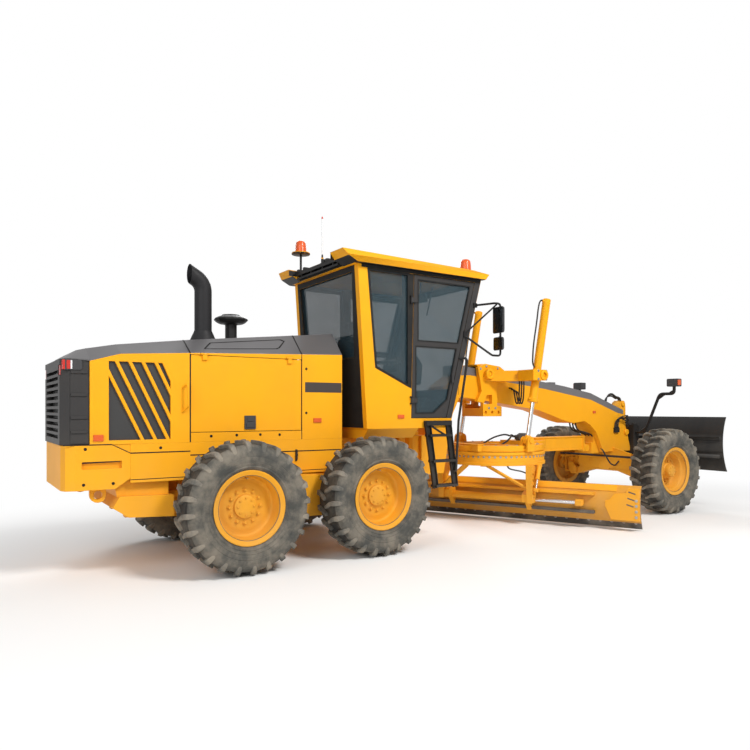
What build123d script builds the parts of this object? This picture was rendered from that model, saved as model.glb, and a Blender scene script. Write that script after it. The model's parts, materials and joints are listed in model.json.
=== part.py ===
from build123d import *
from math import cos, pi, sin
import os

# Motor grader, in millimetres. x runs forward from the rearmost axle, y to the left, z up from the ground.
# Each node is moved back by MID_X when it is written, so that the origin lies under the middle of the machine.

# Wheels
TANDEM_PITCH = 1576
TANDEM_CASE_Y = (640, 800)
REAR_TUBE_RADIUS = 90
STUB_RADIUS = 55
FRONT_AXLE_X = 7085
WHEEL_Y = 1070
TYRE_RADIUS = 670
TYRE_WIDTH = 445
WHEEL_SIDES = 16
LUG_DEPTH = 30
LUG_WIDTH = 100
LUG_LEAN = 30
RIM_SEAT_RADIUS = 318
RIM_FLANGE_RADIUS = 375
RIM_WIDTH = 360
RIM_WALL = 14
SEAT_GAP = 0.5
HUB_RADIUS = 120
AXLE_RADIUS = 60
PIN_CLEARANCE = 0.08
MOVING_GAP = 6

# Rear body
BODY_HALF_WIDTH = 620
PANEL = 25
BODY_REAR_X = -1360
BODY_FRONT_X = 1400
BODY_BOTTOM_Z = 1300
FLOOR_Z = 965
HOOD_SECTIONS = (
    # x, height of the side edge, height of the top edge, half width of the top
    (-1360, 2100, 2235, 400),
    (-1080, 2180, 2290, 385),
    (-330, 2222, 2380, 380),
    (1400, 2280, 2550, 380),
)
DOOR_X = (-400, 870)
DOOR_Z = (1400, 2205)
DOOR_GAP = 6
HOOD_HINGE = (634, 2212)
HOOD_HINGE_X = (-250, 720)
BUMPER_REAR_X = -1600
BUMPER_Z = (870, 1300)
GRILLE_REAR_X = -1610
TOW = (-1270, 500, 810)
TOW_BORE = 40
ENGINE = ((-500, 900), (-330, 330), (1010, 1900))

# Exhaust and precleaner
STACK_X = -110
STACK_Y = -150
STACK_RADIUS = 97
CLEANER_X = 270
CLEANER_Y = 0

# Cab
CAB_HALF_WIDTH = 820
CAB_WALL = 60
CAB_FLOOR_Z = 1410
CAB_SKIRT_Z = 1290
CAB_REAR = ((1630, 1295), (1495, 3340))
CAB_FRONT = ((2870, 1410), (3400, 3340))
CAB_ROOF_Z = 3340
GLASS = 8
CAB_HINGE = (2262, 836)
CAB_HINGE_Z = (1750, 2980)
HINGE_PIN = 7
BEACONS = ((1408, 470, 3760), (3235, -700, 3522))

# Hitch between the rear and front frames
HITCH_X = 2850
HITCH_RADIUS = 110
HITCH_PIN = 50
HITCH_Z = (700, 1340)
HITCH_PLATE = 50
RAIL_Y = (290, 390)
RAIL_Z = (550, 790)
BLADE_PASS_X = 2200
BLADE_PASS_Z = 645

# Front frame
FRAME_HALF_WIDTH = 170
NOSE_BOTTOM_Z = 930

# Drawbar, circle and moldboard
BALL = (6450, 1000)
CIRCLE_X = 4400
CIRCLE_RADIUS = 750
CIRCLE_BORE = 610
CIRCLE_Z = (850, 1040)
TONGUE_Z = (980, 1200)
BALL_RADIUS = 58
BALL_HALF = 62
BLADE_ANGLE = 25.5
BLADE_HALF = 2087
BLADE_BACK_X = -75
BLADE_DEPTH = 100
BLADE_LOW_Z = 110
BLADE_TOP_Z = 610
BLADE_EDGE_Z = 20
BLADE_WALL = 22
TILT_X = -330
TILT_Z = 380
TILT_Y = 640
RAIL_X = -135
RAIL_DEPTH = 40
RAIL_HALF = 1500
BLADE_RAIL_Z = (235, 485)
SHIFT_X = -215
SHIFT_Z = 360
SHIFT_LUG = 1320

# Lift cylinders
LIFT_Y = 720
LIFT_TRUNNION = (4540, 2124)
LIFT_EYE = (4360, 1200)
LIFT_TOP = 1125
BARREL_RADIUS = 59
BARREL_BELOW = 390
ROD_RADIUS = 30
ROD_LENGTH = 1570
TRUNNION_RADIUS = 36
TRUNNION_BAND = 74
SADDLE_BAR_X = (3975, 4340)

# Front axle
LEAN_Y = 660
LEAN_Z = 550
LEAN_BAR_Z = 872
KINGPIN_Y = 800
STEER_ARM = 250
TIE_ROD_Z = 851
TIE_ROD_DRIFT = 12

# Front blade
DOZER_X = 8200
DOZER_Z = (609, 1515)
DOZER_HALF = 1370
DOZER_ARM_Y = 300
DOZER_PIN = (7600, 760)
DOZER_EYE = (8130, 1010)
DOZER_CYLINDER_HEAD = (7560, 1250)
DOZER_CYLINDER_EYE = (7750, 840)

MID_X = 3370


def block(x, y, z):
    """A box from its limits along each axis."""
    size = [limits[1] - limits[0] for limits in (x, y, z)]
    centre = [(limits[1] + limits[0]) / 2 for limits in (x, y, z)]
    return Pos(*centre) * Box(*size)


def slab_y(outline, y):
    """A plate whose outline is in x and z, between two values of y."""
    face = make_face(Polyline(*[(px, y[0], pz) for px, pz in outline], close=True))
    return extrude(face, amount=y[1] - y[0], dir=(0, 1, 0))


def slab_z(outline, z):
    """A plate whose outline is in x and y, between two heights."""
    face = make_face(Polyline(*[(px, py, z[0]) for px, py in outline], close=True))
    return extrude(face, amount=z[1] - z[0], dir=(0, 0, 1))


def slab_x(outline, x):
    """A plate whose outline is in y and z, between two values of x."""
    face = make_face(Polyline(*[(x[0], py, pz) for py, pz in outline], close=True))
    return extrude(face, amount=x[1] - x[0], dir=(1, 0, 0))


def rod(start, end, radius):
    """A round bar between two points, for pins, bores and rods that fit each other."""
    axis = Vector(*end) - Vector(*start)
    plane = Plane(origin=start, z_dir=axis)
    return plane * Cylinder(radius, axis.length, align=(Align.CENTER, Align.CENTER, Align.MIN))


def post(start, end, radius, sides=12):
    """A bar of flat sides between two points, for round shapes that fit nothing."""
    axis = Vector(*end) - Vector(*start)
    plane = Plane(origin=start, z_dir=axis)
    return extrude(plane * RegularPolygon(radius, sides), amount=axis.length)


def hole(start, end, radius, sides=12):
    """The cut for a pin, with flat sides that stand clear of a round bar of this radius."""
    return post(start, end, radius / cos(pi / sides), sides)


def bent_tube(points, bend, radius, sides=8):
    """A tube along straight runs, with each corner cut once at a distance from it."""
    line = [Vector(*points[0])]
    for before, corner, after in zip(points, points[1:], points[2:]):
        here = Vector(*corner)
        for other in (before, after):
            run = Vector(*other) - here
            line.append(here + run.normalized() * min(bend, run.length * 0.4))
    line.append(Vector(*points[-1]))
    path = Polyline(*line)
    start = Plane(origin=path @ 0, z_dir=path % 0)
    return sweep(start * RegularPolygon(radius, sides), path=path, transition=Transition.RIGHT)


def both(shape):
    """A shape and its mirror image on the other side of the machine."""
    return shape + mirror(shape, about=Plane.XZ)


def side(shape, hand):
    """A shape modelled on the left, put on the left for hand 1 or on the right for hand -1."""
    return shape if hand > 0 else mirror(shape, about=Plane.XZ)


def turned(outline):
    """A solid of flat sides turned about y, from a closed outline of radius and y."""
    step = 2 * pi / WHEEL_SIDES
    rings = [[Vector(radius * cos((n + 0.5) * step), y, radius * sin((n + 0.5) * step))
              for n in range(WHEEL_SIDES)] for radius, y in outline]
    faces = []
    for here, there in zip(rings, rings[1:] + rings[:1]):
        for n in range(WHEEL_SIDES):
            m = (n + 1) % WHEEL_SIDES
            faces.append(Face(Wire.make_polygon([here[n], here[m], there[m], there[n]])))
    return Part() + Solid(Shell(faces))


# Wheels, modelled about their own centre with y outwards

def tyre():
    """The carcass with two staggered rows of lugs that run down over its shoulders."""
    half = TYRE_WIDTH / 2
    bore = RIM_SEAT_RADIUS + SEAT_GAP
    bead = RIM_WIDTH / 2 - 16
    tread = TYRE_RADIUS - LUG_DEPTH
    outline = [(bore, bead), (520, half - 2), (tread, half - 55)]
    outline += [(radius, -y) for radius, y in reversed(outline)]
    edge = LUG_WIDTH / 2
    top = (TYRE_RADIUS ** 2 - (edge + LUG_LEAN) ** 2) ** 0.5
    profile = slab_x([(4, tread - 60), (4, top), (half - 50, top), (half - 6, top - 80), (half - 50, tread - 60)],
                     (-150, 150))
    plan = slab_z([(-edge - LUG_LEAN, 4), (edge - LUG_LEAN, 4), (edge + LUG_LEAN, half),
                   (-edge + LUG_LEAN, half)], (500, 700))
    lug = profile & plan
    pitch = 360 / WHEEL_SIDES
    lugs = [Rot(0, pitch * n, 0) * lug for n in range(WHEEL_SIDES)]
    lugs += [Rot(0, pitch * (n + 0.5), 0) * mirror(lug, about=Plane.XZ) for n in range(WHEEL_SIDES)]
    return turned(outline) + lugs


def rim_shell(disc_y):
    """The well, its two flanges and the disc that carries it."""
    half = RIM_WIDTH / 2
    seat = RIM_SEAT_RADIUS
    inner = seat - RIM_WALL
    flange = RIM_FLANGE_RADIUS
    well = turned([(inner, -half), (flange, -half), (seat, -half + 14), (seat, half - 14), (flange, half),
                   (inner, half)])
    disc = turned([(HUB_RADIUS - 10, disc_y - 20), (inner + 3, disc_y - 20), (inner + 3, disc_y),
                   (HUB_RADIUS - 10, disc_y)])
    return well + disc


def rear_rim():
    """A deep rim on a shaft that runs in the tandem case."""
    disc_y = 20
    hub_inner = TANDEM_CASE_Y[1] + MOVING_GAP - WHEEL_Y
    hub = post((0, hub_inner, 0), (0, disc_y + 30, 0), HUB_RADIUS)
    shaft = rod((0, hub_inner - 90, 0), (0, hub_inner + 1, 0), AXLE_RADIUS)
    return rim_shell(disc_y) + hub + shaft


def front_rim():
    """A rim with a planetary hub that stands out of its dish."""
    hub = post((0, -110, 0), (0, 45, 0), HUB_RADIUS) + post((0, 40, 0), (0, 122, 0), 100)
    bore = hole((0, -120, 0), (0, 20, 0), STUB_RADIUS + PIN_CLEARANCE)
    return rim_shell(-20) + hub - bore


def place_wheel(shape, x, hand):
    return side(Pos(x, WHEEL_Y, TYRE_RADIUS) * shape, hand)


# Rear body

def hood_section(x, side_z, top_z, top_half, inset=0):
    """The hood's cross-section at x, from its lower edge up over the chamfered top."""
    half = BODY_HALF_WIDTH - inset
    points = [(-half, side_z - 60), (half, side_z - 60), (half, side_z - inset / 2),
              (top_half - inset / 2, top_z - inset), (-top_half + inset / 2, top_z - inset),
              (-half, side_z - inset / 2)]
    return make_face(Polyline(*[(x, py, pz) for py, pz in points], close=True))


def body_side_outline():
    """The yellow side as seen from the side, up to the hood's edge."""
    top = [(x, side_z) for x, side_z, _, _ in HOOD_SECTIONS]
    return [(BODY_REAR_X, BODY_BOTTOM_Z), (BODY_FRONT_X, BODY_BOTTOM_Z)] + top[::-1]


def engine_hood():
    outer = loft([hood_section(*row) for row in HOOD_SECTIONS], ruled=True)
    inner = loft([hood_section(*row, inset=PANEL) for row in HOOD_SECTIONS], ruled=True)
    shell = outer - Pos(0, 0, -1) * inner
    below = slab_y([(x, z + 0.3) for x, z in body_side_outline()],
                   (-BODY_HALF_WIDTH - 5, BODY_HALF_WIDTH + 5))
    hood = shell - below
    tail = slab_y([(BODY_REAR_X - 165, 2120), (BODY_REAR_X - 165, 2165), (BODY_REAR_X - 90, 2212),
                   (BODY_REAR_X, 2235), (BODY_REAR_X, 2120)], (-400, 400))
    stack = post((STACK_X, STACK_Y, 2000), (STACK_X, STACK_Y, 3000), STACK_RADIUS + 14, 16)
    stem = post((CLEANER_X, CLEANER_Y, 2000), (CLEANER_X, CLEANER_Y, 3000), 75, 16)
    return hood + tail - stack - stem


def louvre_cut():
    """The slanted slots of the rear side panel, as the solid to cut away."""
    left, right, low, high = -1190, -600, 1340, 2105
    field = slab_y([(left, low), (right, low), (right, high - 180), (right - 80, high), (left, high)],
                   (0, 1000))
    lean = 0.48
    pitch = 125
    bar = 34
    bars = []
    for n in range(6):
        top = -1278 + pitch * n
        drop = high + 40 - (low - 40)
        bars.append(slab_y([(top, high + 40), (top + bar, high + 40), (top + bar + lean * drop, low - 40),
                            (top + lean * drop, low - 40)], (-10, 1010)))
    return field - bars


def hood_sides():
    """Side walls, front bulkhead and the frame round the side doors."""
    outer = slab_y(body_side_outline(), (-BODY_HALF_WIDTH, BODY_HALF_WIDTH))
    inner = block((BODY_REAR_X - 10, BODY_FRONT_X - PANEL),
                  (-BODY_HALF_WIDTH + PANEL, BODY_HALF_WIDTH - PANEL), (BODY_BOTTOM_Z - 10, 2400))
    shell = outer - inner
    doors = block(DOOR_X, (-1000, 1000), DOOR_Z)
    cuts = both(louvre_cut() & block((-2000, 2000), (300, 1000), (0, 3000)))
    y, z = HOOD_HINGE
    hinges = Part()
    for x in HOOD_HINGE_X:
        for low in (x - 45, x + 25.3):
            hinges += block((low, low + 19.7), (BODY_HALF_WIDTH - 1, y + 11), (z - 6, z + 11))
        hinges += rod((x - 45, y, z), (x + 45, y, z), HINGE_PIN)
    return shell - doors - cuts + both(hinges)


def hood_door(hand):
    """One side door with its latch, hinged along its upper edge."""
    low, high = DOOR_Z
    door = block((DOOR_X[0] + DOOR_GAP, DOOR_X[1] - DOOR_GAP),
                 (BODY_HALF_WIDTH - PANEL, BODY_HALF_WIDTH), (low + DOOR_GAP, high - DOOR_GAP))
    latch = block((190, 310), (BODY_HALF_WIDTH - 10, BODY_HALF_WIDTH + 12), (1430, 1570))
    y, z = HOOD_HINGE
    for x in HOOD_HINGE_X:
        knuckle = post((x - 25, y, z), (x + 25, y, z), 12)
        knuckle += block((x - 25, x + 25), (BODY_HALF_WIDTH - 2, y + 6), (z - 60, z - 9))
        door += knuckle - hole((x - 40, y, z), (x + 40, y, z), HINGE_PIN + PIN_CLEARANCE)
    return side(door + latch, hand)


def rear_grille():
    """The moulded housing over the radiator with its ribs, and the mesh behind the side slots."""
    rear = GRILLE_REAR_X
    front = BODY_REAR_X - 0.5
    plan = [(front, -600), (rear + 70, -600), (rear, -530), (rear, 530), (rear + 70, 600), (front, 600)]
    housing = slab_z(plan, (BODY_BOTTOM_Z + 3, 2115)) - block((rear + 60, front + 5), (-540, 540),
                                                             (BODY_BOTTOM_Z + 30, 2075))
    slots = []
    pitch = 62
    for n in range(11):
        low = BODY_BOTTOM_Z + 60 + pitch * n
        slots.append(block((rear - 10, rear + 70), (-430, 430), (low, low + 34)))
    lamp_pockets = both(block((rear - 10, rear + 50), (450, 540), (1960, 2060)))
    side_slots = []
    for n in range(9):
        low = BODY_BOTTOM_Z + 60 + pitch * n
        side_slots.append(block((rear + 90, front - 40), (540, 640), (low, low + 34)))
    housing = housing - slots - lamp_pockets - both(Part() + side_slots)
    mesh = block((-1230, -560), (BODY_HALF_WIDTH - PANEL - 16, BODY_HALF_WIDTH - PANEL - 0.3), (1320, 2120))
    return housing + both(mesh)


def lamp_lenses():
    """Red rear lamps, orange side markers and the domes of the two beacons."""
    rear = GRILLE_REAR_X
    red = block((rear + 5, rear + 49.5), (455, 535), (1965, 2055))
    markers = [
        block((-1330, -1240), (BODY_HALF_WIDTH + 0.3, BODY_HALF_WIDTH + 12), (1335, 1395)),
        block((1020, 1120), (BODY_HALF_WIDTH + 0.3, BODY_HALF_WIDTH + 12), (1490, 1540)),
        block((2060, 2150), (CAB_HALF_WIDTH + 0.3, CAB_HALF_WIDTH + 12), (1530, 1575)),
    ]
    domes = [post((x, y, z - 60), (x, y, z + 60), 72) + post((x, y, z + 55), (x, y, z + 95), 54)
             for x, y, z in BEACONS]
    return both(red) + both(Part() + markers) + domes


def rear_bumper():
    """The cast counterweight with its recess and two towing lugs."""
    low, high = BUMPER_Z
    rear = BUMPER_REAR_X
    round_plan = 110
    half = BODY_HALF_WIDTH
    plan = [(-990, -half), (rear + round_plan, -half), (rear + 30, -half + 30), (rear, -half + round_plan),
            (rear, half - round_plan), (rear + 30, half - 30), (rear + round_plan, half), (-990, half)]
    casting = slab_z(plan, (low, high - 2))
    outline = slab_y([(rear - 5, low), (-1130, low), (-990, FLOOR_Z), (-990, 1210), (-1160, high - 2),
                      (rear - 5, high - 2)], (-half - 5, half + 5))
    recess = both(block((-1430, -1070), (half - 40, half + 10), (1070, 1140)))
    lug = post((0, -25, 0), (0, 25, 0), 75, 16) + block((-75, 75), (-25, 25), (0, 110))
    hole = Rot(90, 0, 0) * Cylinder(TOW_BORE, 80)
    lugs = Pos(TOW[0], TOW[1], TOW[2]) * (lug - hole)
    return (casting & outline) - recess + both(lugs)


def rear_frame():
    """Rails, side skirts and floor of the rear frame, with the hitch plates and pin at its front."""
    half = BODY_HALF_WIDTH
    low, high = RAIL_Z
    rails = both(slab_y([(-989.7, low), (BLADE_PASS_X, low), (BLADE_PASS_X + 70, BLADE_PASS_Z),
                         (2500, BLADE_PASS_Z), (2500, high), (-989.7, high)], RAIL_Y))
    webs = both(block((-989.7, 1400), (RAIL_Y[0], RAIL_Y[0] + 20), (RAIL_Z[1] - 5, FLOOR_Z + 5)))
    floor = block((-989.7, 1400), (-half, half), (FLOOR_Z, FLOOR_Z + 20))
    skirts = both(block((-989.7, 1400), (half - 12, half), (FLOOR_Z - 45, BODY_BOTTOM_Z - 0.3)))
    crosses = [block((x, x + 90), (-RAIL_Y[0], RAIL_Y[0]), (RAIL_Z[0] + 20, RAIL_Z[1] - 20))
               for x in (-980, 200, 1900)]
    posts = both(block((1380, 2400), (RAIL_Y[0], RAIL_Y[0] + 30), (RAIL_Z[1] - 5, CAB_SKIRT_Z - 0.3)))
    step = both(block((1400, 1480), (RAIL_Y[0], half), (FLOOR_Z, FLOOR_Z + 60)))
    low, high = HITCH_Z
    plates = Part()
    for bottom in (low, high - HITCH_PLATE):
        plan = slab_z([(2400, -RAIL_Y[1]), (HITCH_X, -HITCH_RADIUS), (HITCH_X, HITCH_RADIUS),
                       (2400, RAIL_Y[1])], (bottom, bottom + HITCH_PLATE))
        plates += plan + post((HITCH_X, 0, bottom), (HITCH_X, 0, bottom + HITCH_PLATE), HITCH_RADIUS, 16)
    bulkhead = block((2380, 2480), (-RAIL_Y[1], RAIL_Y[1]), (BLADE_PASS_Z, CAB_FLOOR_Z - 0.3))
    pin = rod((HITCH_X, 0, low - 15), (HITCH_X, 0, high + 15), HITCH_PIN)
    axle_hole = post((TANDEM_PITCH / 2, -600, TYRE_RADIUS), (TANDEM_PITCH / 2, 600, TYRE_RADIUS),
                     REAR_TUBE_RADIUS + SEAT_GAP)
    frame = rails + webs + floor + skirts + crosses + posts + step + plates + bulkhead + pin
    return frame - axle_hole


def tandem_cases():
    """The two chain cases and the rear axle tube that joins them."""
    y_in, y_out = TANDEM_CASE_Y
    end = 215
    outline = [(-end, TYRE_RADIUS - 60), (-end, TYRE_RADIUS + 60), (-60, TYRE_RADIUS + end),
               (TANDEM_PITCH / 2, TYRE_RADIUS + end + 30), (TANDEM_PITCH + 60, TYRE_RADIUS + end),
               (TANDEM_PITCH + end, TYRE_RADIUS + 60), (TANDEM_PITCH + end, TYRE_RADIUS - 60),
               (TANDEM_PITCH + 60, TYRE_RADIUS - end), (-60, TYRE_RADIUS - end)]
    case = slab_y(outline, (y_in, y_out))
    for x in (0, TANDEM_PITCH):
        case -= hole((x, y_out - 95, TYRE_RADIUS), (x, y_out + 5, TYRE_RADIUS), AXLE_RADIUS + PIN_CLEARANCE)
    tube = post((TANDEM_PITCH / 2, -y_in - 1, TYRE_RADIUS), (TANDEM_PITCH / 2, y_in + 1, TYRE_RADIUS),
                REAR_TUBE_RADIUS)
    return both(case) + tube


def engine_block():
    x, y, z = ENGINE
    mount_z = FLOOR_Z + 20.3
    feet = [block((fx, fx + 120), (y[0], y[1]), (mount_z, z[0] + 5)) for fx in (x[0] + 60, x[1] - 180)]
    return block(x, y, z) + feet


def exhaust_and_intake():
    """The exhaust stack with its curved tip, and the precleaner on its stem."""
    stack = bent_tube([(STACK_X, STACK_Y, 2300), (STACK_X, STACK_Y, 3010), (STACK_X - 150, STACK_Y, 3215)],
                      100, STACK_RADIUS, 16)
    (x0, _, z0, _), (x1, _, z1, _) = HOOD_SECTIONS[2:]
    slope = (z1 - z0) / (x1 - x0)
    foot_z = z0 + slope * (STACK_X - x0) + 0.4
    foot = post((STACK_X, STACK_Y, foot_z), (STACK_X - 28 * slope, STACK_Y, foot_z + 28), 128, 16)
    stem_top = 2610
    stem = post((CLEANER_X, CLEANER_Y, 2300), (CLEANER_X, CLEANER_Y, stem_top), 74, 16)
    cap = Part()
    for low, high, radius in ((0, 30, 150), (30, 100, 195), (100, 125, 150)):
        cap += post((CLEANER_X, CLEANER_Y, stem_top + low), (CLEANER_X, CLEANER_Y, stem_top + high), radius, 16)
    return stack + foot + stem + cap


# Cab

def cab_x(edge, z):
    """x of a sloping cab edge, given by two points, at a height."""
    (x0, z0), (x1, z1) = edge
    return x0 + (x1 - x0) * (z - z0) / (z1 - z0)


def cab_outline(low, high, inset=0):
    """The cab seen from the side between two heights."""
    return [(cab_x(CAB_REAR, low) + inset, low), (cab_x(CAB_FRONT, low) - inset, low),
            (cab_x(CAB_FRONT, high) - inset, high), (cab_x(CAB_REAR, high) + inset, high)]


def cab_door_outline(gap=0):
    """The door opening seen from the side, drawn in by a gap all round."""
    return [(2260 + gap, 1530 + gap), (2815 - gap, 1530 + gap), (3290 - gap, 3300 - gap),
            (2305 + gap, 3300 - gap)]


def cab_side_window(inset=0):
    """The fixed side window behind the door."""
    return [(1735 + inset, 2130 + inset), (2235 - inset, 1905 + inset), (2235 - inset, 3300 - inset),
            (1625 + inset, 3300 - inset)]


def cab_window_boxes():
    """Rear and front windows, as the solids to cut away, and the panes that fill them."""
    return {
        "rear": (slab_x([(-620, 2250), (620, 2250), (680, 3260), (-680, 3260)], (1300, 1800)), CAB_REAR),
        "front": (slab_x([(-700, 1900), (700, 1900), (700, 3250), (-700, 3250)], (2700, 3600)), CAB_FRONT),
    }


def cab_body():
    """Floor, lower panels, pillars and rails of the cab, with every opening cut."""
    half = CAB_HALF_WIDTH
    outer = slab_y(cab_outline(CAB_FLOOR_Z, CAB_ROOF_Z), (-half, half))
    inner = slab_y(cab_outline(CAB_FLOOR_Z + CAB_WALL, CAB_ROOF_Z + 10, CAB_WALL),
                   (-half + CAB_WALL, half - CAB_WALL))
    shell = outer - inner
    shell -= slab_y(cab_door_outline(), (-half - 10, half + 10))
    shell -= slab_y(cab_side_window(), (-half - 10, half + 10))
    for cut, _ in cab_window_boxes().values():
        shell -= cut
    skirt_rear = cab_x(CAB_REAR, CAB_SKIRT_Z) + 10
    skirt = slab_x([(-half + 120, CAB_SKIRT_Z), (half - 120, CAB_SKIRT_Z), (half, CAB_FLOOR_Z),
                    (-half, CAB_FLOOR_Z)], (skirt_rear, 2375))
    x, y = CAB_HINGE
    hinges = Part()
    for z in CAB_HINGE_Z:
        for low in (z - 50, z + 30.3):
            hinges += block((x - 22, x + HINGE_PIN), (half - 1, y + 13), (low, low + 19.7))
        hinges += rod((x, y, z - 50), (x, y, z + 50), HINGE_PIN)
    return shell + skirt + both(hinges)


def cab_roof():
    """The roof panel with its fascias and rear recess, the bases of the beacons and the aerial."""
    low = CAB_ROOF_Z + 0.3
    outline = [(1450, low), (3420, low), (3480, 3410), (3220, 3440), (1270, 3480), (1330, 3400)]
    roof = slab_y(outline, (-895, 895))
    chamfer_cut = slab_x([(850, 3500), (900, low + 60), (1000, low + 60), (1000, 3500)], (1200, 3600))
    recess = block((1200, 1440), (-560, 560), (low - 10, 3600))
    cross_bar = block((1370, 1445), (-565, 565), (3400, 3440))
    (rear_x, rear_y, rear_z), (front_x, front_y, front_z) = BEACONS
    stalk = post((rear_x, rear_y, 3430), (rear_x, rear_y, rear_z - 80), 14, 8)
    plate = post((rear_x, rear_y, rear_z - 85), (rear_x, rear_y, rear_z - 60.3), 120)
    base = post((front_x, front_y, 3420), (front_x, front_y, front_z - 60.3), 78)
    aerial = post((1408, -120, 3430), (1408, -120, 3520), 16, 8)
    aerial += post((1408, -120, 3500), (1408, -120, 4030), 7, 6)
    return roof - both(chamfer_cut) - recess + cross_bar + stalk + plate + base + aerial


def cab_glass():
    """Fixed panes: both rear side windows, the rear window and the front window."""
    y = CAB_HALF_WIDTH - CAB_WALL / 2
    panes = both(slab_y(cab_side_window(), (y, y + GLASS)))
    for cut, edge in cab_window_boxes().values():
        inset = CAB_WALL / 2 if edge is CAB_REAR else -CAB_WALL / 2
        low, high = CAB_FLOOR_Z, CAB_ROOF_Z
        sheet = slab_y([(cab_x(edge, low) + inset, low), (cab_x(edge, low) + inset + GLASS, low),
                        (cab_x(edge, high) + inset + GLASS, high), (cab_x(edge, high) + inset, high)],
                       (-CAB_HALF_WIDTH, CAB_HALF_WIDTH))
        panes += sheet & cut
    return panes


def cab_door_frame(hand):
    """The frame of one cab door with its mid rail, handle and two hinge barrels."""
    y_out = CAB_HALF_WIDTH - 2
    y_in = y_out - 40
    gap = DOOR_GAP
    frame = slab_y(cab_door_outline(gap), (y_in, y_out))
    for window in cab_door_windows():
        frame -= slab_y(window, (y_in - 10, y_out + 10))
    handle = block((2885, 2918), (y_out - 5, y_out + 30), (1980, 2090))
    x, y = CAB_HINGE
    for z in CAB_HINGE_Z:
        knuckle = post((x, y, z - 30), (x, y, z + 30), 14)
        knuckle += block((x + 10, x + 80), (y_out + 4, y + 6), (z - 30, z + 30))
        knuckle += block((x + 46, x + 80), (y_out - 1, y_out + 5), (z - 30, z + 30))
        frame += knuckle - hole((x, y, z - 40), (x, y, z + 40), HINGE_PIN + PIN_CLEARANCE)
    return side(frame + handle, hand)


def cab_door_windows():
    """The upper and lower window openings of a door, seen from the side."""
    bar = 55
    return [
        [(2360, 2480), (3015, 2480), (3220, 3300 - bar), (2360, 3300 - bar)],
        [(2325, 1530 + bar), (2610, 1530 + bar), (2835, 1760), (2990, 2425), (2325, 2425)],
    ]


def cab_door_glass(hand):
    y = CAB_HALF_WIDTH - 26
    panes = Part() + [slab_y(window, (y, y + GLASS)) for window in cab_door_windows()]
    return side(panes, hand)


def cab_interior():
    """Seat, console and steering column with its wheel, seen through the glass."""
    floor = CAB_FLOOR_Z + CAB_WALL + 0.3
    base = block((1900, 2250), (-200, 200), (floor, floor + 350))
    cushion = block((1880, 2360), (-250, 250), (floor + 350, floor + 480))
    back = Pos(1890, 0, floor + 790) * Rot(0, -8, 0) * Box(130, 480, 640)
    head = Pos(1840, 0, floor + 1180) * Rot(0, -8, 0) * Box(90, 260, 190)
    arms = both(block((1900, 2330), (300, 380), (floor, floor + 620)))
    column = slab_y([(2560, floor), (2680, floor), (2600, floor + 760), (2520, floor + 760)], (-110, 110))
    wheel = post((0, 0, -14), (0, 0, 14), 205, 20) - post((0, 0, -20), (0, 0, 20), 178, 20)
    wheel += post((0, 0, -30), (0, 0, 30), 45) + Box(370, 30, 14) + Box(30, 370, 14)
    neck = block((2440, 2560), (-40, 40), (floor + 730, floor + 775))
    return base + cushion + back + head + arms + column + neck + Pos(2500, 0, floor + 800) * wheel


def access_ladders():
    """The ladder under each door and the grab rails beside it."""
    y0, y1 = 835, 875
    rails = []
    for (x_top, x_low) in ((2470, 2600), (2820, 2940)):
        rails.append(slab_y([(x_top, 1500), (x_top + 35, 1500), (x_low + 35, 660), (x_low, 660)], (y0, y1)))
    treads = [block((x, x + 350), (y0 - 60, y1 + 20), (z, z + 30)) for x, z in
              ((2505, 1300), (2555, 980), (2598, 670))]
    foot = block((2470, 2855), (CAB_HALF_WIDTH + 0.3, y1), (1440, 1500))
    rail = bent_tube([(2875, 850, 1560), (3060, 900, 1560), (3060, 900, 2050), (3015, 850, 2080)], 45, 16, 6)
    pads = block((2845, 2895), (CAB_HALF_WIDTH + 0.3, 862), (1535, 1585))
    pads += block((2985, 3035), (CAB_HALF_WIDTH + 0.3, 862), (2055, 2105))
    return both(Part() + rails + treads + foot) + both(rail + pads)


def mirror_frames():
    """Tube frames with two mirrors a side."""
    tube = 14
    frame = bent_tube([(3200, 834, 2330), (3300, 1090, 2330), (3470, 1100, 2330), (3470, 1100, 3000),
                       (3380, 1090, 3000), (3290, 834, 3000)], 60, tube, 6)
    pads = block((3170, 3230), (CAB_HALF_WIDTH + 0.3, 845), (2300, 2360))
    pads += block((3260, 3320), (CAB_HALF_WIDTH + 0.3, 845), (2970, 3030))
    tall = block((3440, 3480), (1000, 1190), (2620, 2960))
    small = block((3440, 3480), (1010, 1180), (2400, 2570))
    return both(frame + pads + tall + small)


# Front frame

FRAME_TOP = ((3550, 2120), (3780, 2130), (5320, 1960), (6410, 1800), (7110, 1580), (7260, 1560))


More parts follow.
